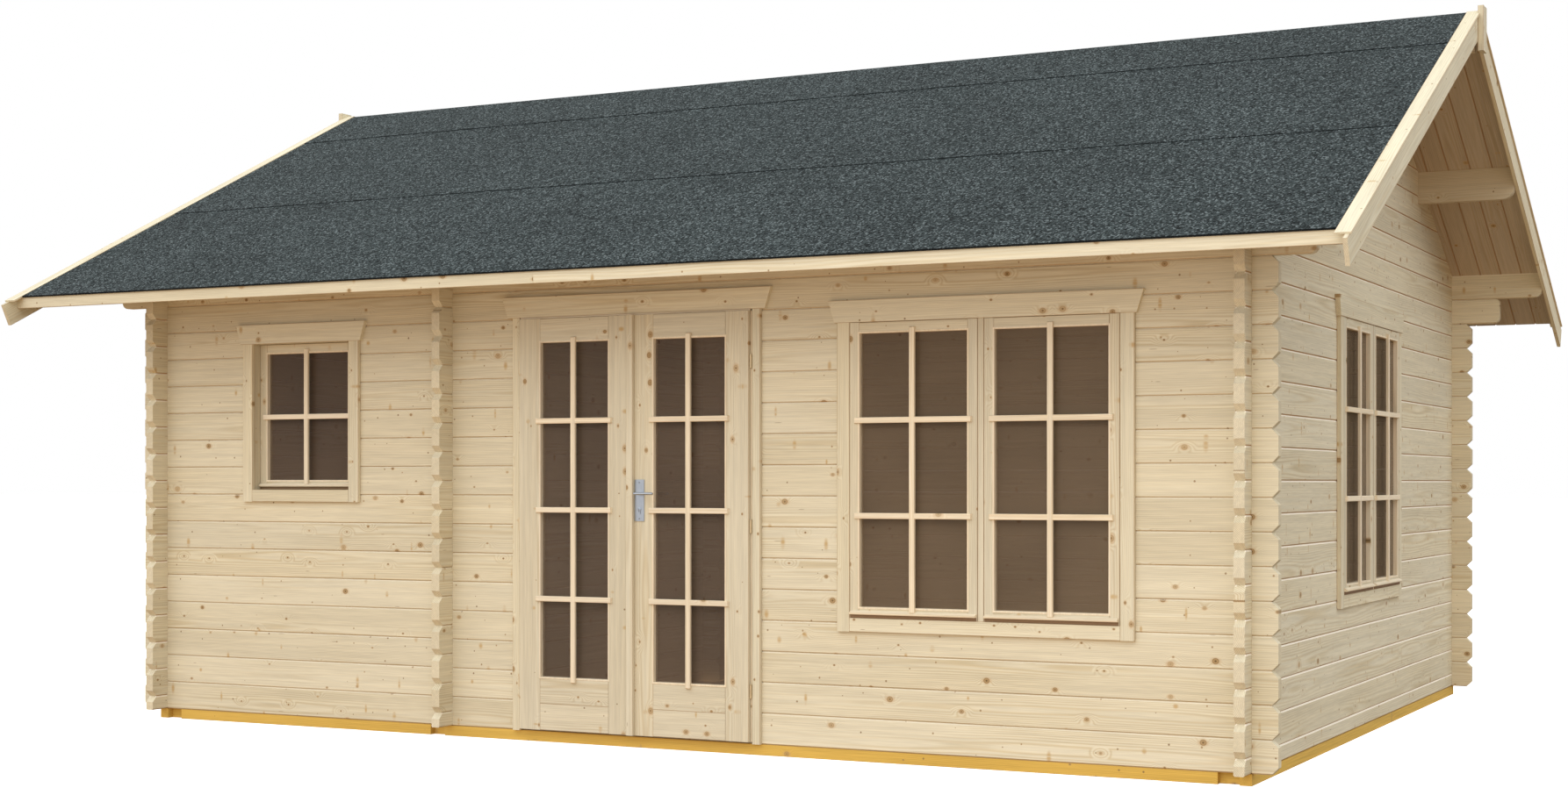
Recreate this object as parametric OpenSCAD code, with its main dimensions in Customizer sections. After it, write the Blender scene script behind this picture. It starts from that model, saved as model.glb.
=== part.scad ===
// Log garden house with a saddle roof, a glazed double door and three casement windows.
// Millimetres, +Z up. The origin is on the ground, in the middle of the house.
// Front and back logs ("long" walls) start with a whole log. Gable and partition logs
// ("short" walls) start with half a log, so that the courses lock in each other's notches.

/* [Log walls] */
// Length of the house between the outer faces of the gable walls
wall_len = 5590; // [4800:10:7000]
// Depth of the house between the outer faces of the front and back walls
wall_dep = 4250; // [3800:10:5200]
// Thickness of a log
log_t = 44; // [34:1:70]
// Height of one course of logs
log_h = 135; // [120:1:150]
// Courses in the front and back walls, with the eave log
courses = 17; // [17:1:19]
// Depth of the chamfers that make the V-groove between two courses
groove = 5; // [2:0.5:8]
// How far the log ends stand out past the crossing wall
log_end = 105; // [70:1:160]
// Size of the cut corners at a log end
end_cut = 28; // [10:1:40]
// How far the corbel log under the eave log stands out past the gable
corbel_end = 256; // [180:1:400]
// Radius of the rounded lower corner of the corbel log ends
corbel_r = 32; // [10:1:60]
// Radius of the rounded upper corner of the corbel log ends
corbel_top_r = 22; // [0:1:40]
// Radius of the rounded lower corner of the eave log ends
eave_r = 46; // [20:1:90]

/* [Rooms] */
// From the left gable's outer face to the partition's left face
partition_x = 1750; // [1500:10:1950]
// From the front wall's outer face to the inner cross wall's front face
cross_y = 2410; // [2000:10:2600]
// Width of the two inner doorways
inner_door_w = 700; // [600:10:900]
// From the cross wall's back face to the partition's doorway
partition_door_gap = 300; // [150:10:450]
// Height of the inner doorways, in courses
inner_door_courses = 14; // [13:1:15]

/* [Foundation and floor] */
// Height of the foundation beams
base_h = 48; // [40:1:100]
// Width of the beams under the gable walls
side_sill_w = 48; // [40:1:90]
// Width of the beams under the front and back walls
front_sill_w = 34; // [24:1:40]
// Gap between a front beam and the gable beam
sill_end_gap = 88; // [40:1:150]
// Gap between the two front beams, beside the partition
sill_mid_gap = 81; // [40:1:150]
// Width of the bearers and joists
bearer_w = 44; // [34:1:70]
// Distance between floor joists
joist_pitch = 560; // [400:10:700]
// Thickness of the floor boards
floor_t = 19; // [16:1:32]

/* [Roof] */
// Pitch of the roof
pitch = 26; // [20:0.5:30]
// Eave overhang, level, from the wall face to the edge of the roof boards
eave_over = 465; // [350:5:700]
// Gable overhang from the gable's outer face to the barge board
gable_over = 483; // [420:1:700]
// Thickness of the roof boards
deck_t = 19; // [16:1:28]
// Thickness of the roofing felt
felt_t = 4; // [2:0.5:8]
// Rise of the felt at the lower edge of each lapped course
felt_lap = 3; // [1:0.5:6]
// Width of felt that shows in each course, along the slope
felt_w = 1200; // [600:10:1500]
// Height of the eave fascia
fascia_h = 55; // [40:1:110]
// Thickness of the eave fascia
fascia_t = 19; // [14:1:28]
// Joint between the two lengths of fascia, from the middle of the house
fascia_joint = -230; // [-800:10:800]
// Depth of the barge boards, square to the slope
barge_h = 108; // [80:1:180]
// Thickness of the barge boards
barge_t = 18; // [14:1:32]
// Width of the cap battens on the barge boards
cap_w = 64; // [40:1:90]
// How far the cap battens stand out past the barge boards
cap_over = 8; // [0:1:15]
// Thickness of the cap battens
cap_t = 8; // [6:1:20]
// Width of the apex plates
apex_w = 90; // [60:1:140]
// Height of the apex plates
apex_h = 210; // [160:1:300]
// Thickness of the apex plates
apex_t = 25; // [15:1:40]
// Thickness of the purlins
purlin_t = 44; // [34:1:90]
// Height of the purlins at their higher face
purlin_h = 165; // [120:1:200]
// Radius of the rounded lower corner of the middle purlins' ends
purlin_r = 60; // [20:1:90]
// From the ridge line to the near face of a middle purlin
purlin_y = 1130; // [800:10:1400]

/* [Door] */
// How far the door stands right of an even spacing along the main room
door_shift = -33; // [-60:1:60]
// Width of the left leaf; the right one is wider by the strip on its meeting edge
leaf_w = 575; // [500:1:640]
// Thickness of a door leaf
leaf_t = 40; // [34:1:56]
// Gap below the door leaves
leaf_drop = 10; // [6:1:20]
// Gap between a moving leaf and what is beside it
leaf_gap = 8; // [6:1:12]
// How far the leaves stand out in front of the casings
leaf_proud = 17; // [14:1:30]
// Width of a leaf's hinge stile
stile_w = 115; // [90:1:140]
// Width of a leaf's meeting stile beside the strip
meeting_stile_w = 96; // [80:1:130]
// Height of a leaf's top rail
top_rail_h = 108; // [80:1:150]
// Height of a leaf's bottom rail, made of two boards
bottom_rail_h = 240; // [160:1:320]
// Width of the strip on the right leaf's meeting edge
strip_w = 34; // [24:1:60]
// Thickness of the strip on the right leaf's meeting edge
strip_t = 20; // [10:1:30]
// Thickness of the door frame boards
jamb_t = 35; // [28:1:50]
// How far the door frame reaches in behind a leaf
jamb_stop = 20; // [12:1:30]
// Diameter of the hinge knuckles
knuckle_d = 10; // [9:1:16]
// Length of one hinge knuckle
knuckle_len = 30; // [25:1:60]
// Diameter of the hinge pins
pin_d = 5; // [4:0.5:6]

/* [Handle] */
// Width of the handle plates
plate_w = 48; // [36:1:60]
// Height of the handle plates
plate_h = 185; // [140:1:250]
// Thickness of the handle plates
plate_t = 4; // [3:0.5:8]
// Height of the middle of the plates above the bottom of the wall
plate_z = 1060; // [900:5:1200]
// Height of the lever's spindle above the middle of the plate
lever_up = 30; // [10:1:60]
// Length of the lever from its spindle
lever_len = 95; // [70:1:140]
// Diameter of the lever
lever_d = 12; // [10:1:20]
// How far the lever stands out from the leaf
lever_out = 48; // [35:1:70]
// Diameter of the spindle
spindle_d = 8; // [6:0.5:10]

/* [Casings] */
// Width of the door casings
door_casing_w = 40; // [30:1:90]
// Width of the window casings
casing_w = 60; // [45:1:90]
// Thickness of the casings
casing_t = 18; // [12:1:25]
// Height of the header boards
header_h = 95; // [60:1:130]
// Thickness of the header boards
header_t = 22; // [14:1:30]
// How far the door header's lower edge runs past the casing on each side
door_header_side = 24; // [0:1:40]
// How far a window header's lower edge runs past the casing on each side
header_side = 10; // [0:1:30]
// How far the header's ends flare out from bottom to top
header_flare = 30; // [0:1:60]

/* [Windows] */
// How far the front window stands left of an even spacing along the main room
window_shift = 45; // [-60:1:60]
// From the front wall's outer face to the middle of the gable window
gable_window_y = 2090; // [1950:10:2300]
// From the left gable's outer face to the small window's glazing
small_window_x = 607; // [350:1:700]
// Width of one sash of the large windows
sash_w = 585; // [450:1:620]
// Gap between the two sashes of a large window
mullion_w = 29; // [20:1:60]
// Width of the small window's sash
small_sash_w = 590; // [450:10:700]
// Courses below the large front window
window_sill_course = 4; // [3:1:6]
// Courses below the small window
small_sill_course = 8; // [6:1:10]
// Course line above the front windows and the door
head_course = 14; // [13:1:15]
// Height of the window frame's sill
sill_h = 25; // [18:1:40]
// Height of the window frame's head, behind the header
head_h = 70; // [50:1:80]
// Thickness of the window frame's side boards
frame_t = 30; // [22:1:45]
// Width of a sash's stiles and rails
sash_stile = 44; // [35:1:60]
// Thickness of a sash
sash_t = 40; // [30:1:50]
// How far the small window's sash is set back from the wall's face
small_set_back = 40; // [5:1:45]
// Thickness of the glass
glass_t = 4; // [3:1:8]

/* [Hidden] */
$fn = 32;
// Gap between pieces that rest on each other
seat = 0.3;
// Gap between two courses, and in the notches
joint = 0.4;
// Spare length of cutters past the faces they cut
over = 5;
// Steps in the rounded corner of a log end
corbel_steps = 6;
// Chamfer on the long edges of planed boards
edge = 2;
// Gap between fixed joinery pieces that leaves a shadow line
shadow_gap = 1.5;
// Gap between the floor boards and the walls
floor_gap = 3;
// How far the felt runs out past the fascia
felt_drip = 8;
// How far barge boards and their caps run on past the fascia
barge_run = 91;
cap_run = 59;
// How far the frames stand out inside the house
frame_inside = 10;
// Clearance between a hinge pin or spindle and its bore
bore_gap = 0.4;
// Thickness and width of a hinge flap
flap_t = 2;
flap_w = 22;
// Knuckle pairs on each door leaf
hinge_count = 3;
// Height of the first and last hinge from the ends of the leaf
hinge_end = 220;
// Distance of the handle plates from the strip
plate_edge = 3;
// How far the apex plates stand up past the cap battens
apex_up = 15;

wood = "BurlyWood";
pale = "Wheat";
treated = "Goldenrod";
xl = -wall_len / 2;
xr = wall_len / 2;
yf = -wall_dep / 2;
yb = wall_dep / 2;
zw = base_h;
x_left = xl + log_t / 2;
x_right = xr - log_t / 2;
x_part = xl + partition_x + log_t / 2;
y_front = yf + log_t / 2;
y_back = yb - log_t / 2;
y_cross = yf + cross_y + log_t / 2;

// The roof boards' underside meets the inner top edges of the front and back walls
rise = tan(pitch);
z_wall = zw + courses * log_h;
z_ridge = z_wall + (yb - log_t) * rise;
function roof_z(y) = z_ridge - abs(y) * rise;
function roof_y(z) = (z_ridge - z) / rise;
eave_y = yb + eave_over;
deck_len = wall_len + 2 * gable_over;
deck_up = deck_t / cos(pitch);
cap_up = cap_t / cos(pitch);
cap_seat = seat / cos(pitch);
barge_end = eave_y + fascia_t + barge_run;
cap_end = eave_y + fascia_t + cap_run;

// Short walls cross the long ones up to the course below the eave logs' tops
short_cross = courses;
short_courses = floor((z_ridge - zw) / log_h + 0.5);
cross_courses = courses - 1;
notch = log_t + 2 * seat;
low_notch = log_h / 4;
top_notch = log_h * 3 / 4 - joint;

// Door and front window share the main room's front wall, moved a little from an even spacing
main_l = x_part + log_t / 2;
main_r = xr - log_t;
right_leaf_w = leaf_w + strip_w;
leaves_w = leaf_w + leaf_gap + right_leaf_w;
door_w = leaves_w + 2 * (leaf_gap + door_casing_w);
unit_w = 2 * sash_w + mullion_w;
window_w = unit_w + 2 * casing_w;
even = (main_r - main_l - door_w - window_w) / 3;

// Door sizes: the leaves hang in front of the frame, between the casings
door_l = main_l + even + door_shift + door_casing_w + leaf_gap;
door_r = door_l + leaves_w;
meeting_x = door_l + leaf_w + leaf_gap;
head_z = zw + head_course * log_h;
leaf_z0 = zw + leaf_drop;
leaf_z1 = head_z - edge;
leaf_h = leaf_z1 - leaf_z0;
leaf_front = yf - casing_t - leaf_proud;
leaf_back = leaf_front + leaf_t;
jamb_y0 = leaf_back + leaf_gap;
jamb_y1 = yf + log_t + frame_inside;
jamb_out = jamb_t - jamb_stop;
hinge_y = yf - casing_t - seat - knuckle_d / 2;
hinge_off = seat + knuckle_d / 2;
lever_x = meeting_x + strip_w + plate_edge + plate_w / 2;
lever_z = zw + plate_z + lever_up;

// Window sizes: the large windows share one unit, the small one has a single sash
unit_h = (head_course - window_sill_course) * log_h;
small_h = (head_course - small_sill_course) * log_h;
front_unit_x = main_r - even - window_shift - window_w / 2;
small_unit_x = xl + small_window_x + small_sash_w / 2;
gable_unit_y = yf + gable_window_y;
side_gap = frame_t + seat;

// Openings as [from, to, bottom, top] in the wall's own direction
door_opening = [door_l - jamb_out - seat, door_r + jamb_out + seat, zw, head_z];
front_opening = [front_unit_x - unit_w / 2 - side_gap, front_unit_x + unit_w / 2 + side_gap,
    head_z - unit_h, head_z];
small_opening = [small_unit_x - small_sash_w / 2 - side_gap, small_unit_x + small_sash_w / 2 + side_gap,
    head_z - small_h, head_z];
gable_opening = [gable_unit_y - unit_w / 2 - side_gap, gable_unit_y + unit_w / 2 + side_gap,
    head_z - unit_h + log_h / 2, head_z + log_h / 2];
partition_opening = [y_cross + log_t / 2 + partition_door_gap,
    y_cross + log_t / 2 + partition_door_gap + inner_door_w, zw, zw + (inner_door_courses + 0.5) * log_h];
cross_mid = (xl + log_t + x_part - log_t / 2) / 2;
cross_opening = [cross_mid - inner_door_w / 2, cross_mid + inner_door_w / 2,
    zw, zw + inner_door_courses * log_h];

// Box between two corners
module block(low, high) {
    translate(low) cube(high - low);
}

// Log outline, seen from the side

// Corner of an outline: a cut with one step, an arc with more, a plain point with no radius
function corner(x, z, r, start, steps) = r == 0 ? [[x, z]] :
    [for (k = [0:steps]) [x + r * cos(start + 90 * k / steps), z + r * sin(start + 90 * k / steps)]];
function low_gaps(notches) = [for (n = notches) if (n[1]) each
    [[n[0] - notch / 2, 0], [n[0] - notch / 2, low_notch],
     [n[0] + notch / 2, low_notch], [n[0] + notch / 2, 0]]];
function top_gaps(notches, h, floor_z) = [for (k = [len(notches) - 1:-1:0]) if (notches[k][2]) each
    [[notches[k][0] + notch / 2, h], [notches[k][0] + notch / 2, floor_z],
     [notches[k][0] - notch / 2, floor_z], [notches[k][0] - notch / 2, h]]];
// ends holds the radius of the left low, right low, right top and left top corner
function outline(a, b, h, notches, floor_z, ends, steps) = concat(
    corner(a + ends[0], ends[0], ends[0], 180, steps), low_gaps(notches),
    corner(b - ends[1], ends[1], ends[1], 270, steps),
    corner(b - ends[2], h - ends[2], ends[2], 0, steps), top_gaps(notches, h, floor_z),
    corner(a + ends[3], h - ends[3], ends[3], 90, steps));

// Log section: grooved edges, or a top bevelled to the roof towards the outside
function section(h) = let (s = log_t / 2, g = groove + over)
    [[-s, groove], [g - s, -over], [s - g, -over], [s, groove],
     [s, h - groove], [s - g, h + over], [g - s, h + over], [-s, h - groove]];
function eave_section(h) = let (s = log_t / 2, g = groove + over)
    [[-s, groove], [g - s, -over], [s - g, -over], [s, groove], [s, h], [-s, h - log_t * rise]];

// Log along X with its bottom at z = 0
module log(a, b, shape, profile) {
    intersection() {
        rotate([90, 0, 0]) linear_extrude(log_t + 2 * over, center = true) polygon(shape);
        translate([a - over, 0, 0]) rotate([90, 0, 90]) linear_extrude(b - a + 2 * over) polygon(profile);
    }
}

// Openings of a wall that reach the height z, and the log lengths left between them
function cuts(openings, z) = [for (o = openings) if (z > o[2] && z < o[3]) o];
function starts(a, list) = concat([a], [for (o = list) o[1]]);
function ends_at(b, list) = concat([for (o = list) o[0]], [b]);
function within(notches, a, b) = [for (n = notches) if (n[0] > a && n[0] < b) n];

// One course of a wall, cut into lengths by the openings
module course(a, b, h, notches, floor_z, openings, z, end_r, steps, profile) {
    list = cuts(openings, z + h / 2);
    from = starts(a, list);
    to = ends_at(b, list);
    last = len(from) - 1;
    for (k = [0:last]) {
        l = k == 0 ? end_r : [0, 0];
        r = k == last ? end_r : [0, 0];
        shape = outline(from[k], to[k], h, within(notches, from[k], to[k]), floor_z,
            [l[0], r[0], r[1], l[1]], steps);
        translate([0, 0, z]) log(from[k], to[k], shape, profile);
    }
}

// Courses i of a long wall, where each crossing is [place, courses of the crossing wall]
module long_course(i, a, b, crossings, openings, end_r, steps, profile) {
    notches = [for (c = crossings) [c[0], i < c[1], i + 1 < c[1]]];
    course(a, b, log_h - joint, notches, top_notch, openings, zw + i * log_h, end_r, steps, profile);
}

// Plain courses, the corbel log and the bevelled eave log of the front or back wall
module long_wall(openings) {
    crossings = [[x_left, short_cross], [x_part, short_cross], [x_right, short_cross]];
    plain = section(log_h - joint);
    for (i = [0:courses - 3])
        long_course(i, xl - log_end, xr + log_end, crossings, openings, [end_cut, end_cut], 1, plain);
    long_course(courses - 2, xl - corbel_end, xr + corbel_end, crossings, [],
        [corbel_r, corbel_top_r], corbel_steps, plain);
    long_course(courses - 1, seat - deck_len / 2, deck_len / 2 - seat, crossings, [],
        [eave_r, 0], corbel_steps, eave_section(log_h - joint));
}

// Crossing courses of a short wall, along X from front to back, starting with half a log
module short_course(j, crossings, openings) {
    half = j == 0;
    h = (half ? log_h / 2 : log_h) - joint;
    z = half ? zw : zw + (j - 0.5) * log_h;
    floor_z = half ? log_h / 4 - joint : top_notch;
    end_low = half ? 0 : end_cut;
    notches = [for (c = crossings) [c[0], !half && j - 1 < c[1], j < c[1]]];
    course(yf - log_end, yb + log_end, h, notches, floor_z, openings, z, [end_low, end_cut], 1, section(h));
}

// Gable log between the roof slopes, over the eave logs
function gable_outline(z, h) =
    let (m = min(roof_y(z + joint), yb - log_t - seat), zm = min(h, roof_z(m) - joint - z),
         top = roof_y(z + h + joint))
    concat([[-m, 0], [m, 0]], zm > 0 ? [[m, zm]] : [], top > 0 && zm < h ? [[top, h], [-top, h]] : [],
        top <= 0 ? [[0, z_ridge - joint - z]] : [], zm > 0 ? [[-m, zm]] : []);

module gable_course(j) {
    z = zw + (j - 0.5) * log_h;
    h = log_h - joint;
    translate([0, 0, z]) log(yf, yb, gable_outline(z, h), section(h));
}

// Slots that let the purlins through a gable or the partition
module purlin_slot(mid, top) {
    width = purlin_t + 2 * seat;
    translate([mid - width / 2, -log_t, top - purlin_h - seat]) cube([width, 2 * log_t, 2 * purlin_h]);
}
module purlin_slots() {
    for (s = [-1, 1])
        purlin_slot(s * (purlin_y + purlin_t / 2), roof_z(purlin_y));
    purlin_slot(0, z_ridge);
}

module short_wall(x, crossings, openings) {
    translate([x, 0, 0]) rotate([0, 0, 90]) {
        for (j = [0:short_cross - 1])
            short_course(j, crossings, openings);
        difference() {
            for (j = [short_cross:short_courses])
                gable_course(j);
            purlin_slots();
        }
    }
}

outer_crossings = [[y_front, courses], [y_back, courses]];
inner_crossings = [[y_front, courses], [y_cross, cross_courses], [y_back, courses]];

module front_wall() color(wood) translate([0, y_front, 0])
    long_wall([small_opening, door_opening, front_opening]);
module back_wall() color(wood) translate([0, y_back, 0]) mirror([0, 1, 0]) long_wall([]);
module left_gable_wall() color(wood) short_wall(x_left, inner_crossings, []);
module right_gable_wall() color(wood) short_wall(x_right, outer_crossings, [gable_opening]);
module partition_wall() color(wood) short_wall(x_part, inner_crossings, [partition_opening]);

module cross_wall() color(wood) translate([0, y_cross, 0]) {
    crossings = [[x_left, short_courses], [x_part, short_courses]];
    for (i = [0:cross_courses - 1])
        long_course(i, xl - log_end, x_part + log_t / 2 + log_end, crossings, [cross_opening],
            [end_cut, end_cut], 1, section(log_h - joint));
}

// Foundation and floor

module side_sills() color(treated) {
    block([xl, yf, 0], [xl + side_sill_w, yb, zw - seat]);
    block([xr - side_sill_w, yf, 0], [xr, yb, zw - seat]);
}

// Two beams under a long wall, from its outer face inwards
module long_sills() {
    part_l = x_part - log_t / 2;
    block([xl + side_sill_w + sill_end_gap, yf, 0], [part_l - sill_mid_gap, yf + front_sill_w, zw - seat]);
    block([part_l, yf, 0], [xr - side_sill_w - sill_end_gap, yf + front_sill_w, zw - seat]);
}

module front_sills() color(treated) long_sills();
module back_sills() color(treated) mirror([0, 1, 0]) long_sills();

bearer_y = yf + front_sill_w + seat;
module bearers() color(treated) for (s = [0, 1]) mirror([0, s, 0])
    block([xl + side_sill_w + seat, bearer_y, 0], [xr - side_sill_w - seat, bearer_y + bearer_w, zw - seat]);

// Joists spread evenly on both sides of the one under the partition
module joist(x) {
    y = bearer_y + bearer_w + seat;
    block([x - bearer_w / 2, y, 0], [x + bearer_w / 2, -y, zw - seat]);
}
module joist_row(from, to) {
    count = floor(abs(to - from) / joist_pitch);
    for (k = [1:count])
        joist(from + (to - from) * k / (count + 1));
}
module floor_joists() color(treated) {
    joist(x_part);
    joist_row(x_part, xl + side_sill_w);
    joist_row(x_part, xr - side_sill_w);
}

// One floor for each room
module floor_boards() color(pale) {
    in_l = xl + log_t + floor_gap;
    in_r = xr - log_t - floor_gap;
    in_f = yf + log_t + frame_inside + floor_gap;
    in_b = yb - log_t - floor_gap;
    gap = log_t / 2 + floor_gap;
    block([in_l, in_f, zw], [x_part - gap, y_cross - gap, zw + floor_t]);
    block([in_l, y_cross + gap, zw], [x_part - gap, in_b, zw + floor_t]);
    difference() {
        block([x_part + gap, in_f, zw], [in_r, in_b, zw + floor_t]);
        block([x_part, y_cross - gap, 0], [x_part + gap + log_end, y_cross + gap, zw + 2 * floor_t]);
    }
}

// Roof

// Shape in the YZ plane, drawn as [y, z], made length long around x = 0
module across(length) {
    translate([-length / 2, 0, 0]) rotate([90, 0, 90]) linear_extrude(length) children();
}

module ridge_purlin() color(wood) {
    s = purlin_t / 2;
    across(deck_len - 2 * seat) polygon([[-s, z_ridge - purlin_h], [s, z_ridge - purlin_h],
        [s, roof_z(s) - joint], [0, z_ridge - joint], [-s, roof_z(s) - joint]]);
}

// Purlin with rounded lower end corners and a top bevelled to the roof
module mid_purlin() {
    z0 = roof_z(purlin_y) - purlin_h;
    length = deck_len - 2 * seat;
    shape = outline(-length / 2, length / 2, purlin_h, [], 0, [purlin_r, purlin_r, 0, 0], corbel_steps);
    intersection() {
        translate([0, -purlin_y - purlin_t / 2, z0]) rotate([90, 0, 0])
            linear_extrude(purlin_t + 2 * over, center = true) polygon(shape);
        across(length + 2 * over) polygon([[-purlin_y, z0 - over], [-purlin_y, roof_z(purlin_y) - joint],
            [-purlin_y - purlin_t, roof_z(purlin_y + purlin_t) - joint], [-purlin_y - purlin_t, z0 - over]]);
    }
}
module mid_purlins() color(wood) for (s = [0, 1]) mirror([0, s, 0]) mid_purlin();

module roof_deck() {
    across(deck_len - 2 * seat) polygon([[-seat, roof_z(seat)], [-seat, roof_z(seat) + deck_up],
        [-eave_y, roof_z(eave_y) + deck_up], [-eave_y, roof_z(eave_y)]]);
}
module front_roof_deck() color(wood) roof_deck();
module back_roof_deck() color(wood) mirror([0, 1, 0]) roof_deck();

// Felt between the caps in lapped courses, each thickest at its lower edge; the last ends at the ridge
module felt(low) {
    under = deck_up + cap_seat;
    step = felt_w * cos(pitch);
    thin = felt_t / cos(pitch);
    thick = (felt_t + felt_lap) / cos(pitch);
    top = [for (y0 = [low:-step:2 * seat]) each let (y1 = max(y0 - step, seat))
        [[-y0, roof_z(y0) + under + thick], [-y1, roof_z(y1) + under + thin]]];
    across(deck_len - 2 * (cap_w - cap_over - barge_t + seat))
        polygon(concat([[-seat, roof_z(seat) + under], [-low, roof_z(low) + under]], top));
}
module front_felt() color("DarkSlateGray") felt(eave_y + fascia_t + felt_drip);
module back_felt() color("DarkSlateGray") mirror([0, 1, 0]) felt(eave_y + felt_drip);

// Two lengths of fascia on the ends of the front roof boards
module fascias() color(pale) {
    y = eave_y + seat;
    z1 = roof_z(y + fascia_t) + deck_up;
    end = deck_len / 2 - seat;
    block([-end, -y - fascia_t, z1 - fascia_h], [fascia_joint - seat, -y, z1]);
    block([fascia_joint + seat, -y - fascia_t, z1 - fascia_h], [end, -y, z1]);
}

// Strip down the slope from start to end, between two heights above the boards' underside,
// with its lower end square to the slope
module slope_strip(low, high, start, end) {
    turn = end - (high - low) * sin(pitch) * cos(pitch);
    polygon([[-start, roof_z(start) + low], [-start, roof_z(start) + high],
        [-end, roof_z(end) + high], [-turn, roof_z(turn) + low]]);
}
module both_ends(x, t) {
    for (m = [0, 1]) for (s = [0, 1]) mirror([m, 0, 0]) mirror([0, s, 0])
        translate([x + t / 2, 0, 0]) across(t) children();
}
module barge_boards() color(pale)
    both_ends(deck_len / 2, barge_t) slope_strip(deck_up - barge_h / cos(pitch), deck_up, seat, barge_end);
// Cap battens on the boards and the barge, notched round the apex plates
module cap_strip(start) {
    slope_strip(deck_up + cap_seat, deck_up + cap_seat + cap_up, start, cap_end);
}
module barge_caps() color(pale) {
    in = cap_w - cap_over;
    both_ends(deck_len / 2 + barge_t - in, in) cap_strip(seat);
    both_ends(deck_len / 2 + barge_t - in, cap_w) cap_strip(apex_w / 2 + seat);
}

module apex_plates() color(pale) for (m = [0, 1]) mirror([m, 0, 0]) {
    x = deck_len / 2 + barge_t + seat;
    z1 = z_ridge + deck_up + cap_up + apex_up;
    block([x, -apex_w / 2, z1 - apex_h], [x + apex_t, apex_w / 2, z1]);
}

// Joinery

// Upright or level board with chamfered front edges, its front at y = 0
module board(low, high, t) {
    w = high - low;
    upright = w[1] > w[0];
    width = upright ? w[0] : w[1];
    length = upright ? w[1] : w[0];
    shape = [[0, edge], [edge, 0], [width - edge, 0], [width, edge], [width, t], [0, t]];
    translate([low[0], 0, low[1]]) {
        if (upright) linear_extrude(length) polygon(shape);
        else translate([0, 0, width]) rotate([0, 90, 0]) linear_extrude(length) polygon(shape);
    }
}

// Header with flared ends over a casing, its front at y = 0 and its lower edge width long
module header(width) {
    s = width / 2;
    translate([0, header_t, 0]) rotate([90, 0, 0]) linear_extrude(header_t)
        polygon([[-s, 0], [s, 0], [s + header_flare, header_h], [-s - header_flare, header_h]]);
}

// Window unit: x = 0 is its middle, y = 0 the wall's outer face, z = 0 the opening's bottom

module window_frame(w, h, y1) {
    x = w / 2;
    y0 = seat;
    block([-x - frame_t, y0, seat], [-x, y1, h - seat]);
    block([x, y0, seat], [x + frame_t, y1, h - seat]);
    block([seat - x, y0, seat], [x - seat, y1, sill_h]);
    block([seat - x, y0, h - head_h], [x - seat, y1, h - seat]);
}

module window_casing(w, h) {
    x = w / 2;
    z0 = sill_h - casing_w;
    z1 = h - head_h;
    translate([0, -casing_t - seat, 0]) {
        board([-x - casing_w, z0], [-x, z1 - seat], casing_t);
        board([x, z0], [x + casing_w, z1 - seat], casing_t);
        board([seat - x, z0], [x - seat, sill_h], casing_t);
    }
    translate([0, -header_t - seat, z1]) header(w + 2 * (casing_w + header_side));
}

// Stiles and rails of one sash, its lower left corner at the origin
module sash(w, h) {
    s = sash_stile;
    board([0, 0], [s, h], sash_t);
    board([w - s, 0], [w, h], sash_t);
    board([s + seat, 0], [w - s - seat, s], sash_t);
    board([s + seat, h - s], [w - s - seat, h], sash_t);
}
module sash_glass(w, h) {
    s = sash_stile + seat;
    translate([s, sash_t / 2, s]) cube([w - 2 * s, glass_t, h - 2 * s]);
}

sash_rise = sill_h + seat;
function sash_room(h) = h - sill_h - head_h - seat - shadow_gap;

module large_sashes() {
    left = shadow_gap - sash_w - mullion_w / 2;
    for (x = [left, mullion_w / 2])
        translate([x, -casing_t, sash_rise]) children();
}
module large_frame() {
    window_frame(unit_w, unit_h, log_t + frame_inside);
    half = mullion_w / 2 - shadow_gap;
    block([-half, shadow_gap - casing_t, sill_h + seat],
        [half, log_t + frame_inside, unit_h - head_h - seat]);
}
module small_sash_place() {
    translate([shadow_gap - small_sash_w / 2, small_set_back, sash_rise]) children();
}

module at_front_window() translate([front_unit_x, yf, head_z - unit_h]) children();
module at_gable_window()
    translate([xr, gable_unit_y, head_z - unit_h + log_h / 2]) rotate([0, 0, 90]) children();
module at_small_window() translate([small_unit_x, yf, head_z - small_h]) children();

module front_window_frame() color(wood) at_front_window() large_frame();
module front_window_casing() color(pale) at_front_window() window_casing(unit_w, unit_h);
module front_window_sashes() color(pale)
    at_front_window() large_sashes() sash(sash_w - shadow_gap, sash_room(unit_h));
module front_window_glass() color("LightSlateGray", 0.4)
    at_front_window() large_sashes() sash_glass(sash_w - shadow_gap, sash_room(unit_h));
module gable_window_frame() color(wood) at_gable_window() large_frame();
module gable_window_casing() color(pale) at_gable_window() window_casing(unit_w, unit_h);
module gable_window_sashes() color(pale)
    at_gable_window() large_sashes() sash(sash_w - shadow_gap, sash_room(unit_h));
module gable_window_glass() color("LightSlateGray", 0.4)
    at_gable_window() large_sashes() sash_glass(sash_w - shadow_gap, sash_room(unit_h));
module small_window_frame() color(wood) at_small_window()
    window_frame(small_sash_w, small_h, small_set_back + sash_t);
module small_window_casing() color(pale) at_small_window() window_casing(small_sash_w, small_h);
module small_window_sash() color(pale)
    at_small_window() small_sash_place() sash(small_sash_w - 2 * shadow_gap, sash_room(small_h));
module small_window_glass() color("LightSlateGray", 0.4)
    at_small_window() small_sash_place() sash_glass(small_sash_w - 2 * shadow_gap, sash_room(small_h));

// Door

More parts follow.
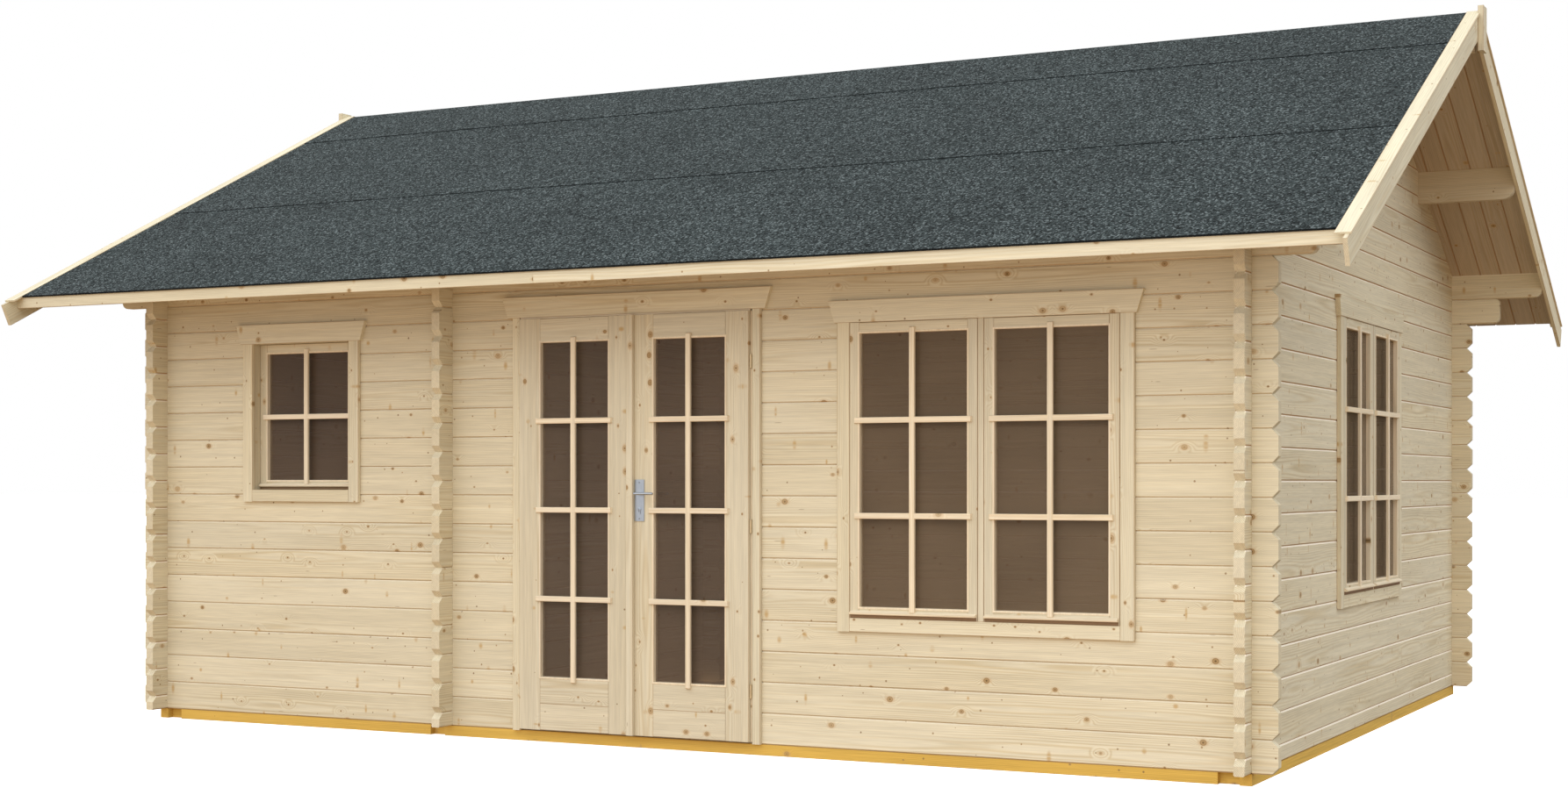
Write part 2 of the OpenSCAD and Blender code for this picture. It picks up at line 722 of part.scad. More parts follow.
module door_frame() color(wood) {
    block([door_l - jamb_out, jamb_y0, zw], [door_l + jamb_stop, jamb_y1, head_z - seat]);
    block([door_r - jamb_stop, jamb_y0, zw], [door_r + jamb_out, jamb_y1, head_z - seat]);
    in_l = door_l + jamb_stop + seat;
    in_r = door_r - jamb_stop - seat;
    block([in_l, jamb_y0, head_z - jamb_t], [in_r, jamb_y1, head_z - seat]);
    block([in_l, jamb_y0, zw], [in_r, jamb_y1, zw + jamb_stop]);
}

module door_casing() color(pale) {
    z1 = leaf_z1 + leaf_gap;
    translate([0, yf - casing_t - seat, 0]) {
        board([door_l - leaf_gap - door_casing_w, zw], [door_l - leaf_gap, z1 - seat], casing_t);
        board([door_r + leaf_gap, zw], [door_r + leaf_gap + door_casing_w, z1 - seat], casing_t);
    }
    translate([(door_l + door_r) / 2, yf - header_t - seat, z1])
        header(door_w + 2 * door_header_side);
}

// Butt hinges: a pin with a flap on the casing's edge, and a bored knuckle with a flap on the leaf's
function hinge_z(k) = leaf_z0 + hinge_end + k * (leaf_h - 2 * hinge_end) / (hinge_count - 1);
module at_hinges(x) {
    for (k = [0:hinge_count - 1])
        translate([x, hinge_y, hinge_z(k)]) children();
}
// Flap of a hinge, set against the edge of the casing or the leaf
module flap(x) {
    translate([x, 0, 0]) cube([flap_t, flap_w, knuckle_len]);
}
module hinge_pin() {
    translate([0, 0, -knuckle_len - seat]) {
        cylinder(h = knuckle_len, d = knuckle_d);
        flap(hinge_off - leaf_gap + seat);
    }
    translate([0, 0, -knuckle_len]) cylinder(h = 2 * knuckle_len - 2 * bore_gap, d = pin_d);
}
module knuckle() {
    difference() {
        union() {
            cylinder(h = knuckle_len, d = knuckle_d);
            flap(hinge_off - seat - flap_t);
        }
        translate([0, 0, -over]) cylinder(h = knuckle_len + 2 * over, d = pin_d + 2 * bore_gap);
    }
}
hinge_l = door_l - hinge_off;
hinge_r = door_r + hinge_off;
module hinge_pins() color("Silver") {
    at_hinges(hinge_l) hinge_pin();
    at_hinges(hinge_r) mirror([1, 0, 0]) hinge_pin();
}
module left_leaf_knuckles() color("Silver") at_hinges(hinge_l) knuckle();
module right_leaf_knuckles() color("Silver") at_hinges(hinge_r) mirror([1, 0, 0]) knuckle();

// Leaf with its hinge stile at x = 0 and its front at y = 0
module leaf(w) {
    glass_r = leaf_w - meeting_stile_w;
    board([0, 0], [stile_w, leaf_h], leaf_t);
    board([glass_r, 0], [w, leaf_h], leaf_t);
    board([stile_w + seat, leaf_h - top_rail_h], [glass_r - seat, leaf_h], leaf_t);
    board([stile_w + seat, 0], [glass_r - seat, bottom_rail_h / 2 - seat], leaf_t);
    board([stile_w + seat, bottom_rail_h / 2], [glass_r - seat, bottom_rail_h], leaf_t);
}
module leaf_glass() {
    w = leaf_w - stile_w - meeting_stile_w - 2 * seat;
    h = leaf_h - top_rail_h - bottom_rail_h - 2 * seat;
    translate([stile_w + seat, leaf_t / 2, bottom_rail_h + seat]) cube([w, glass_t, h]);
}
module at_left_leaf() translate([door_l, leaf_front, leaf_z0]) children();
module at_right_leaf() translate([door_r, leaf_front, leaf_z0]) mirror([1, 0, 0]) children();

module left_leaf() color(pale) at_left_leaf() leaf(leaf_w);
module left_leaf_glass() color("LightSlateGray", 0.4) at_left_leaf() leaf_glass();
module right_leaf_glass() color("LightSlateGray", 0.4) at_right_leaf() leaf_glass();
module right_leaf() color(pale) difference() {
    at_right_leaf() leaf(right_leaf_w);
    spindle_bore(spindle_d + 2 * bore_gap);
}
module meeting_strip() color(pale)
    translate([0, leaf_front - strip_t - seat, 0])
        board([meeting_x, leaf_z0], [meeting_x + strip_w, leaf_z1], strip_t);

// Handle

module spindle_bore(d) {
    translate([lever_x, leaf_front - lever_out, lever_z]) rotate([-90, 0, 0])
        cylinder(h = leaf_t + 2 * lever_out, d = d);
}
module handle_plates() color("Silver") difference() {
    for (y = [leaf_front - seat - plate_t, leaf_back + seat])
        block([lever_x - plate_w / 2, y, zw + plate_z - plate_h / 2],
            [lever_x + plate_w / 2, y + plate_t, zw + plate_z + plate_h / 2]);
    spindle_bore(spindle_d + 2 * bore_gap);
}
module lever_arm(y) {
    translate([lever_x, y, lever_z]) {
        sphere(d = lever_d);
        rotate([0, 90, 0]) cylinder(h = lever_len - lever_d / 2, d = lever_d);
        translate([lever_len - lever_d / 2, 0, 0]) sphere(d = lever_d);
    }
}
module lever_boss(y0, y1) {
    translate([lever_x, y0, lever_z]) rotate([-90, 0, 0]) cylinder(h = y1 - y0, d = lever_d);
}
module handle_lever() color("Silver") {
    out = leaf_front - lever_out;
    in = leaf_back + lever_out;
    spindle_bore(spindle_d);
    lever_boss(out, leaf_front - plate_t - 2 * seat);
    lever_boss(leaf_back + plate_t + 2 * seat, in);
    lever_arm(out);
    lever_arm(in);
}

front_wall();
back_wall();
left_gable_wall();
right_gable_wall();
partition_wall();
cross_wall();
side_sills();
front_sills();
back_sills();
bearers();
floor_joists();
floor_boards();
ridge_purlin();
mid_purlins();
front_roof_deck();
back_roof_deck();
front_felt();
back_felt();
fascias();
barge_boards();
barge_caps();
apex_plates();
door_frame();
door_casing();
hinge_pins();
left_leaf();
right_leaf();
left_leaf_glass();
right_leaf_glass();
left_leaf_knuckles();
right_leaf_knuckles();
meeting_strip();
handle_plates();
handle_lever();
front_window_frame();
front_window_casing();
front_window_sashes();
front_window_glass();
gable_window_frame();
gable_window_casing();
gable_window_sashes();
gable_window_glass();
small_window_frame();
small_window_casing();
small_window_sash();
small_window_glass();
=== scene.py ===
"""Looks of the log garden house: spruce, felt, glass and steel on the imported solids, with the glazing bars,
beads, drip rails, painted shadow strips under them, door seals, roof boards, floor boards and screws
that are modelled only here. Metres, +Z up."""

import math
import random

import bmesh
import bpy
import numpy as np
from mathutils import Matrix, Vector


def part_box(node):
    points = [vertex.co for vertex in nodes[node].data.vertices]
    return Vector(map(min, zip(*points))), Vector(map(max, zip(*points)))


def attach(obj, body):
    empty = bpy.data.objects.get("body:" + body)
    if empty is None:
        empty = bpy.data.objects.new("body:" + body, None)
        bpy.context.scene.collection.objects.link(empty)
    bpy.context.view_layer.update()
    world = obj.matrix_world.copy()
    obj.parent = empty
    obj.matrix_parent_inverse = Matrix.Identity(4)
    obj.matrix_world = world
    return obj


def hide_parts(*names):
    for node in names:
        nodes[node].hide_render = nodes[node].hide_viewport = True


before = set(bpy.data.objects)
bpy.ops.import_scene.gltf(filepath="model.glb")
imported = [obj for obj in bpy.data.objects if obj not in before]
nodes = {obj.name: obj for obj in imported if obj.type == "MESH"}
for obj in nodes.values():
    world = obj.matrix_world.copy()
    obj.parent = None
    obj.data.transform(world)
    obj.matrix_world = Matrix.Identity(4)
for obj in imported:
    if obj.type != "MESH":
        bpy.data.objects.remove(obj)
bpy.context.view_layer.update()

PITCH = math.radians(26)
UP = Vector((0, 0, 1))


# Shader nodes


def colour(rgb):
    """Colour of a socket from three numbers; a socket stays as it is."""
    return (*rgb, 1.0) if isinstance(rgb, tuple) else rgb


class Nodes:
    """Adds shader nodes to one tree and hands back their sockets."""

    def __init__(self, tree):
        self.tree = tree

    def node(self, kind, inputs, **settings):
        made = self.tree.nodes.new("ShaderNode" + kind)
        for name, value in settings.items():
            setattr(made, name, value)
        for key, value in inputs.items():
            if isinstance(value, bpy.types.NodeSocket):
                self.tree.links.new(value, made.inputs[key])
            else:
                made.inputs[key].default_value = value
        return made

    def math(self, operation, a, b=0.0):
        return self.node("Math", {0: a, 1: b}, operation=operation).outputs[0]

    def times(self, a, b):
        return self.math("MULTIPLY", a, b)

    def plus(self, a, b):
        return self.math("ADD", a, b)

    def minus(self, a, b):
        return self.math("SUBTRACT", a, b)

    def vector(self, operation, a, b, c=(0, 0, 0)):
        return self.node("VectorMath", {0: a, 1: b, 2: c}, operation=operation).outputs[0]

    def length(self, a):
        return self.node("VectorMath", {0: a}, operation="LENGTH").outputs[1]

    def facing(self, way, towards):
        """How far a direction agrees with a fixed one: 1 along it, 0 square to it."""
        return self.node("VectorMath", {0: way, 1: towards}, operation="DOT_PRODUCT").outputs[1]

    def parts(self, a):
        return self.node("SeparateXYZ", {0: a}).outputs

    def join(self, x, y, z):
        return self.node("CombineXYZ", {0: x, 1: y, 2: z}).outputs[0]

    def near(self, off, long, tall):
        """Way from the middle of an ellipse, with 1 on its line."""
        share_long = self.math("DIVIDE", off[0], long)
        share_tall = self.math("DIVIDE", off[1], tall)
        return self.length(self.join(share_long, share_tall, 0.0))

    def step(self, value, low, high, to_low=0.0, to_high=1.0):
        """Smooth change from to_low, at and below low, to to_high, at and above high."""
        ends = {"Value": value, "From Min": low, "From Max": high, "To Min": to_low, "To Max": to_high}
        return self.node("MapRange", ends, interpolation_type="SMOOTHSTEP").outputs[0]

    def fade(self, value, low, high, full):
        """Full at and below low, and nothing at and above high."""
        return self.step(value, low, high, full, 0.0)

    def between(self, share, least, most):
        """Size from a number between 0 and 1."""
        return self.step(share, 0.0, 1.0, least, most)

    def mix(self, factor, a, b, blend="MIX"):
        ends = {0: factor, 6: colour(a), 7: colour(b)}
        return self.node("Mix", ends, data_type="RGBA", blend_type=blend).outputs[2]

    def lit(self, shade, lift):
        """Shade made lighter or darker by a factor."""
        return self.mix(1.0, shade, self.join(lift, lift, lift), "MULTIPLY")

    def noise(self, place, scale, detail=2.0, roughness=0.5):
        ends = {"Vector": place, "Scale": scale, "Detail": detail, "Roughness": roughness}
        return self.node("TexNoise", ends).outputs

    def cells(self, place, scale, flat=False):
        size = "2D" if flat else "3D"
        return self.node("TexVoronoi", {"Vector": place, "Scale": scale}, voronoi_dimensions=size).outputs

    def attribute(self, name):
        return self.node("Attribute", {}, attribute_name=name).outputs

    def place(self):
        return self.node("TexCoord", {}).outputs["Object"]

    def bump(self, height, strength, distance):
        ends = {"Height": height, "Strength": strength, "Distance": distance}
        return self.node("Bump", ends).outputs[0]


def new_material(name):
    """Material with one principled shader: the material, its node helper and the shader."""
    made = bpy.data.materials.new(name)
    made.use_nodes = True
    shader = made.node_tree.nodes["Principled BSDF"]
    return made, Nodes(made.node_tree), shader


def drive(n, shader, **sockets):
    for name, socket in sockets.items():
        n.tree.links.new(socket, shader.inputs[name.replace("_", " ")])


# Sizes in wood; a pair is least and most, a room holds one mark at most, OVAL and HALO are in knot radii
RING_WIDTH = 0.006
RING_POWER = 1.6
PITH_DEEP = (0.02, 0.08)
PITH_WIDE = (-0.06, 0.06)
PITH_DRIFT = 0.03
KNOT_ROOM = 0.165
CLOSE_KNOT_ROOM = 0.105
KNOT_RADIUS = (0.004, 0.012)
KNOT_OVAL = 1.15
HALO_LONG = 2.6
HALO_TALL = 1.7
BEND_LONG = 0.06
BEND_TALL = 0.03
BEND_MOST = 0.018
PIN_ROOM = 0.105
PIN_RADIUS = (0.0022, 0.0048)
SPIKE_ROOM = 0.2
SPIKE_LONG = (0.007, 0.016)
SPIKE_TALL = (0.014, 0.040)
POCKET_ROOM = 0.34
POCKET_LONG = (0.012, 0.026)
POCKET_TALL = 0.0013

# Noise scales along the grain, into the board and across it
DRIFT_SCALE = (0.9, 3.0, 3.0)
FIBRE_SCALE = (9.0, 300.0, 300.0)
STREAK_SCALE = (1.6, 60.0, 60.0)

# What sets boards and kinds of marks apart: shifts of the noise, and numbers drawn from a board's tone
TONE_SHIFT = (53.1, 17.7, 29.3)
MARK_SHIFT_LONG = 31
MARK_SHIFT_TALL = 17
PITH_DEEP_DRAW = 7.3
PITH_WIDE_DRAW = 13.7
WARM_DRAW = 31.7

# Colours of the marks in wood, how far each covers the wood, and factors on the wood's own colours
KNOT_HALO = (0.56, 0.36, 0.16)
KNOT_DEEP = (0.30, 0.19, 0.08)
KNOT_LIGHT = (0.47, 0.31, 0.135)
KNOT_RIM = (0.21, 0.125, 0.05)
KNOT_HEART = (0.115, 0.068, 0.028)
PIN_DEEP = (0.20, 0.12, 0.05)
PIN_LIGHT = (0.42, 0.28, 0.13)
SPIKE_TINT = (0.53, 0.35, 0.14)
POCKET_TINT = (0.24, 0.15, 0.075)
# Painted shade along the edges of boards, in their joints and grooves, and a painted highlight on a log's top
# edge
EDGE_SHADE_TINT = (0.40, 0.21, 0.08)
PAINTED_HIGHLIGHT_TINT = (0.97, 0.91, 0.78)
KNOT_STRENGTH = (0.3, 1.0)
HALO_MIX = 0.5
KNOT_MIX = 0.85
RIM_MIX = 0.6
HEART_MIX = 0.85
PIN_MIX = 0.85
SPIKE_MIX = 0.95
SPIKE_STREAKS = (0.25, 0.85)
POCKET_MIX = 0.8
END_MIX = 0.3
WARM_MIX = (0.0, 0.5)
WARM_CAST = (1.0, 0.975, 0.92)
END_CAST = (0.92, 0.86, 0.8)
LATE_SHARE = (0.2, 0.85)
TONE_LIFT = (0.955, 1.03)
STREAK_LIFT = (-0.075, 0.055)
FIBRE_LIFT = (-0.06, 0.05)

# Roughness at both ends of its range, gloss, and a bump's strength and depth
WOOD_ROUGH = (0.67, 0.54)
WOOD_GLOSS = 0.2
WOOD_BUMP = (0.25, 0.0006)
RING_BUMP = 0.35
FIBRE_BUMP = 0.65


class Board:
    """What a wood's nodes read of the board they are on: its grain, half sizes, tone and ends."""

    def __init__(self, n):
        self.n = n
        grain_place = n.attribute("grain")["Vector"]
        self.half_deep, self.half_wide = list(n.parts(n.attribute("half")["Vector"]))[1:]
        self.tone = n.attribute("tone")["Fac"]
        self.end = n.attribute("end")["Fac"]
        self.own = n.vector("MULTIPLY_ADD", self.tone, TONE_SHIFT, grain_place)
        self.deep, self.wide = list(n.parts(grain_place))[1:]
        along, _, across = n.parts(self.own)
        self.flat = n.join(along, across, 0.0)

    def drawn(self, draw, least, most):
        """Size that stays the same over the board."""
        n = self.n
        return n.between(n.math("FRACT", n.times(self.tone, draw)), least, most)

    def noise(self, scale, detail=1.0, roughness=0.5):
        n = self.n
        return n.noise(n.vector("MULTIPLY", self.own, scale), 1.0, detail, roughness)

    def scattered(self, room, share):
        """Marks spread over the board: way from the nearest, its random numbers, and 1 where it is there."""
        n = self.n
        place = n.vector("ADD", self.flat, (room * MARK_SHIFT_LONG, room * MARK_SHIFT_TALL, 0))
        found = n.cells(place, 1.0 / room, flat=True)
        chance = n.parts(found["Color"])
        off = n.parts(n.vector("SUBTRACT", place, found["Position"]))
        return off, chance, n.math("LESS_THAN", chance[0], share)


def year_rings(board, drift, off, there):
    """Rings around a pith outside the board, bent round the knots; 1 in the late wood."""
    n = board.n
    pith_deep = board.drawn(PITH_DEEP_DRAW, *PITH_DEEP)
    pith_wide = board.drawn(PITH_WIDE_DRAW, *PITH_WIDE)
    from_deep = n.plus(n.plus(board.deep, pith_deep), n.times(drift[0], PITH_DRIFT))
    from_wide = n.plus(n.plus(board.wide, pith_wide), n.times(drift[1], PITH_DRIFT))
    away = n.length(n.join(from_deep, from_wide, 0.0))
    bend = n.times(n.fade(n.near(off, BEND_LONG, BEND_TALL), 0.0, 1.0, BEND_MOST), there)
    turn = n.times(n.plus(away, bend), 2 * math.pi / RING_WIDTH)
    wave = n.plus(n.times(n.math("SINE", turn), 0.5), 0.5)
    return n.math("POWER", wave, RING_POWER)


def round_knots(n, shade, off, chance, there):
    """Knots with a warm halo, a dark rim and a darker heart."""
    radius = n.between(n.times(chance[1], chance[1]), *KNOT_RADIUS)
    knot = n.near(off, n.times(radius, KNOT_OVAL), radius)
    around = n.near(off, n.times(radius, HALO_LONG), n.times(radius, HALO_TALL))
    halo = n.times(n.fade(around, 0.4, 1.0, HALO_MIX), there)
    shade = n.mix(halo, shade, KNOT_HALO)
    strong = n.times(n.between(chance[2], *KNOT_STRENGTH), there)
    body = n.times(n.fade(knot, 0.75, 1.15, KNOT_MIX), strong)
    shade = n.mix(body, shade, n.mix(chance[1], KNOT_DEEP, KNOT_LIGHT))
    rim = n.times(n.step(knot, 0.5, 0.85), n.fade(knot, 0.9, 1.15, RIM_MIX))
    shade = n.mix(n.times(rim, strong), shade, KNOT_RIM)
    heart = n.times(n.fade(knot, 0.15, 0.6, HEART_MIX), strong)
    return n.mix(heart, shade, KNOT_HEART)


def small_marks(board, shade, pins, spikes, pockets, streak):
    """Pin knots, spike knots and pitch pockets, where the wood has a share of them."""
    n = board.n
    if pins:
        off, chance, there = board.scattered(PIN_ROOM, pins)
        radius = n.between(chance[1], *PIN_RADIUS)
        pin = n.times(n.fade(n.near(off, radius, radius), 0.6, 1.2, PIN_MIX), there)
        shade = n.mix(pin, shade, n.mix(chance[2], PIN_DEEP, PIN_LIGHT))
    if spikes:
        off, chance, there = board.scattered(SPIKE_ROOM, spikes)
        long = n.between(chance[2], *SPIKE_LONG)
        tall = n.between(chance[1], *SPIKE_TALL)
        spike = n.fade(n.near(off, long, tall), 0.2, 1.0, SPIKE_MIX)
        spike = n.times(n.times(spike, n.step(streak, 0.35, 0.6, *SPIKE_STREAKS)), there)
        shade = n.mix(spike, shade, SPIKE_TINT)
    if pockets:
        off, chance, there = board.scattered(POCKET_ROOM, pockets)
        long = n.between(chance[1], *POCKET_LONG)
        pocket = n.times(n.fade(n.near(off, long, POCKET_TALL), 0.5, 1.0, POCKET_MIX), there)
        shade = n.mix(pocket, shade, POCKET_TINT)
    return shade


def ends_and_edges(board, shade, rings, dark, edge, edge_shade_mix, painted_highlight):
    """End grain, and painted shade along the edges; a log has it only below and a painted highlight on top.
    """
    n = board.n
    cut = n.times(board.end, n.step(rings, 0.2, 0.9, 0.0, END_MIX))
    shade = n.mix(cut, shade, tuple(d * cast for d, cast in zip(dark, END_CAST)))
    side = n.minus(1.0, board.end)
    skin = n.minus(board.half_deep, n.math("ABSOLUTE", board.deep))
    low = n.math("MAXIMUM", n.plus(board.half_wide, board.wide), skin)
    top = n.math("MAXIMUM", n.minus(board.half_wide, board.wide), skin)
    # Painted shade: dark lines along the long edges where joints and grooves fall in shade; on a log only
    # below
    lined = low if painted_highlight else n.math("MINIMUM", low, top)
    dim = n.times(n.fade(lined, edge * 0.5, edge, edge_shade_mix), side)
    shade = n.mix(dim, shade, EDGE_SHADE_TINT)
    if painted_highlight:
        # Painted highlight on the top edge of a log
        glow = n.times(n.fade(top, edge * 0.8, edge * 1.4, painted_highlight), side)
        shade = n.mix(glow, shade, PAINTED_HIGHLIGHT_TINT)
    return shade


def wood(name, tint, marks, edge, edge_shade_mix, painted_highlight=0.0, knot_room=KNOT_ROOM):
    """Sawn spruce that follows each board's own grain: year rings, fibres, knots, end grain and painted shade
    along the edges. tint = pale early wood and dark late wood; marks = shares of the round knots, pin knots,
    spike knots and pitch pockets; edge and edge_shade_mix = width and strength of the painted shade along the
    edges; lip = strength of the painted highlight on a log's top edge."""
    made, n, shader = new_material(name)
    pale, dark = tint
    board = Board(n)
    off, chance, there = board.scattered(knot_room, marks[0])
    drift = n.parts(board.noise(DRIFT_SCALE)["Color"])
    rings = year_rings(board, drift, off, there)
    fibre = board.noise(FIBRE_SCALE)["Fac"]
    streak = board.noise(STREAK_SCALE, 2.0, 0.65)["Fac"]
    late = n.times(rings, n.step(drift[2], 0.35, 0.65, *LATE_SHARE))
    shade = n.mix(late, pale, dark)
    lift = n.plus(n.between(board.tone, *TONE_LIFT), n.step(streak, 0.25, 0.75, *STREAK_LIFT))
    lift = n.plus(lift, n.step(fibre, 0.2, 0.8, *FIBRE_LIFT))
    shade = n.lit(shade, lift)
    warm = board.drawn(WARM_DRAW, *WARM_MIX)
    shade = n.mix(warm, shade, n.mix(1.0, shade, WARM_CAST, "MULTIPLY"))
    shade = round_knots(n, shade, off, chance, there)
    shade = small_marks(board, shade, *marks[1:], streak)
    shade = ends_and_edges(board, shade, rings, dark, edge, edge_shade_mix, painted_highlight)
    height = n.plus(n.times(rings, RING_BUMP), n.times(fibre, FIBRE_BUMP))
    rough = n.between(late, *WOOD_ROUGH)
    drive(n, shader, Base_Color=shade, Normal=n.bump(height, *WOOD_BUMP), Roughness=rough)
    shader.inputs["Specular IOR Level"].default_value = WOOD_GLOSS
    return made


# Felt, glass, metals and the painted shadow strips: colours, gloss, roughness, bumps and noise scales
FELT_DEEP = (0.006, 0.009, 0.0095)
FELT_LIGHT = (0.050, 0.066, 0.068)
FELT_SPECK = (0.17, 0.205, 0.21)
# Painted shade at the felt's laps
FELT_LAP_SHADE = (0.006, 0.008, 0.009)
FELT_GLOSS = 0.15
FELT_ROUGH = (0.98, 0.85)
FELT_BUMP = (0.8, 0.004)
FELT_PATCHES = (0.92, 1.07)
SPECK_SHARE = 0.14
SPECK_MIX = 0.75
GRIT_SCALE = 140.0
LUMP_SCALE = 60.0
PATCH_SCALE = 1.4
GLASS_ALPHA = 0.36
GLASS_GLOSS = 0.2
GLASS_ROUGH = (0.05, 0.12)
GLASS_BUMP = (0.05, 0.002)
GLASS_WAVE_SCALE = 2.2
BRUSH_SCALE = (900.0, 900.0, 40.0)
BRUSH_LIFT = (0.92, 1.04)
BRUSH_BUMP = (0.12, 0.0003)
WEAR_SCALE = 30.0
WEAR_LIFT = (-0.06, 0.04)
WEAR_ROUGH = (-0.06, 0.1)
# Dull brown of the strips under the drip rails: painted shadow of the rails
SHADOW_STRIP_DEEP = (0.20, 0.125, 0.066)
SHADOW_STRIP_LIGHT = (0.26, 0.165, 0.09)
SHADOW_STRIP_ROUGH = (0.75, 0.9)
SHADOW_STRIP_BUMP = (0.2, 0.0004)
PORE_SCALE = 400.0


def felt_material(name):
    """Mineral felt: slate granules with lighter and darker specks, and painted shade on each lap step and the
    lower edge.
    """
    made, n, shader = new_material(name)
    place = n.place()
    grit = n.cells(place, GRIT_SCALE)
    lumps = n.noise(place, LUMP_SCALE, 2.0, 0.6)["Fac"]
    patch = n.noise(place, PATCH_SCALE)["Fac"]
    chance = n.parts(grit["Color"])
    speck = n.plus(n.times(chance[0], 0.6), n.times(lumps, 0.5))
    shade = n.mix(n.step(speck, 0.25, 0.85), FELT_DEEP, FELT_LIGHT)
    bright = n.times(n.math("GREATER_THAN", chance[1], 1 - SPECK_SHARE), SPECK_MIX)
    shade = n.mix(bright, shade, FELT_SPECK)
    shade = n.lit(shade, n.step(patch, 0.3, 0.7, *FELT_PATCHES))
    # Painted shade on the faces that look down the slope: the lap steps and the lower edge
    shade = n.mix(n.attribute("end")["Fac"], shade, FELT_LAP_SHADE)
    height = n.minus(lumps, n.times(grit["Distance"], 0.9))
    rough = n.step(speck, 0.2, 0.9, *FELT_ROUGH)
    drive(n, shader, Base_Color=shade, Normal=n.bump(height, *FELT_BUMP), Roughness=rough)
    shader.inputs["Specular IOR Level"].default_value = FELT_GLOSS
    return made


def glass_material(name, deep, light):
    """Half clear panes with a warm grey body and a faint unevenness in their gloss."""
    made, n, shader = new_material(name)
    wave = n.noise(n.place(), GLASS_WAVE_SCALE)["Fac"]
    shade = n.mix(n.step(wave, 0.3, 0.7), deep, light)
    rough = n.step(wave, 0.2, 0.8, *GLASS_ROUGH)
    drive(n, shader, Base_Color=shade, Normal=n.bump(wave, *GLASS_BUMP), Roughness=rough)
    shader.inputs["Alpha"].default_value = GLASS_ALPHA
    shader.inputs["Specular IOR Level"].default_value = GLASS_GLOSS
    return made


def metal_material(name, tint, rough):
    """Brushed metal with fine lines and a little wear."""
    made, n, shader = new_material(name)
    place = n.place()
    lines = n.noise(n.vector("MULTIPLY", place, BRUSH_SCALE), 1.0)["Fac"]
    worn = n.noise(place, WEAR_SCALE, 3.0)["Fac"]
    lift = n.plus(n.step(lines, 0.2, 0.8, *BRUSH_LIFT), n.step(worn, 0.3, 0.7, *WEAR_LIFT))
    uneven = n.step(worn, 0.25, 0.75, rough + WEAR_ROUGH[0], rough + WEAR_ROUGH[1])
    drive(n, shader, Base_Color=n.lit(tint, lift), Normal=n.bump(lines, *BRUSH_BUMP), Roughness=uneven)
    shader.inputs["Metallic"].default_value = 1.0
    return made


def shadow_strip_material(name):
    """Dull brown with fine pores, for the strips of painted shadow under the drip rails."""
    made, n, shader = new_material(name)
    pores = n.noise(n.place(), PORE_SCALE)["Fac"]
    shade = n.mix(n.step(pores, 0.3, 0.7), SHADOW_STRIP_DEEP, SHADOW_STRIP_LIGHT)
    rough = n.step(pores, 0.2, 0.8, *SHADOW_STRIP_ROUGH)
    drive(n, shader, Base_Color=shade, Normal=n.bump(pores, *SHADOW_STRIP_BUMP), Roughness=rough)
    return made


# Pale early wood and dark late wood of each kind
LOG_TINT = ((0.733, 0.677, 0.514), (0.612, 0.517, 0.33))
# Painted shade under the roof: the purlins are the logs' spruce darkened
SHADED_PURLIN_TINT = ((0.61, 0.54, 0.40), (0.51, 0.415, 0.26))
TRIM_TINT = ((0.747, 0.693, 0.524), (0.642, 0.552, 0.362))
LEAF_TINT = ((0.692, 0.638, 0.489), (0.592, 0.507, 0.34))
BAR_TINT = ((0.86, 0.765, 0.59), (0.77, 0.64, 0.44))
# Painted shade under the roof: the roof boards are the logs' spruce darkened further
SHADED_SOFFIT_TINT = ((0.485, 0.41, 0.315), (0.425, 0.335, 0.225))
TREATED_TINT = ((0.73, 0.485, 0.108), (0.58, 0.36, 0.068))

# Shares of round knots, pin knots, spike knots and pitch pockets
LOG_MARKS = (0.55, 0.42, 0.5, 0.3)
PURLIN_MARKS = (0.4, 0.3, 0.3, 0.1)
TRIM_MARKS = (0.4, 0.25, 0.4, 0.1)
CASING_MARKS = (0.4, 0.45, 0.6, 0.1)
LEAF_MARKS = (0.32, 0.4, 0.6, 0.1)
BAR_MARKS = (0.05, 0, 0, 0)
BOARD_MARKS = (0.45, 0.3, 0.2, 0)
TREATED_MARKS = (0.4, 0.3, 0.3, 0.2)

# Darker and lighter body of the panes, the metals, and the near black of the painted shade in screw crosses
# and key slits
WINDOW_GLASS = ((0.27, 0.185, 0.112), (0.31, 0.215, 0.132))
DOOR_GLASS = ((0.20, 0.135, 0.092), (0.235, 0.16, 0.108))
STEEL_TINT = (0.46, 0.52, 0.60)
ZINC_TINT = (0.78, 0.64, 0.42)
SLOT_TINT = (0.02, 0.02, 0.022)

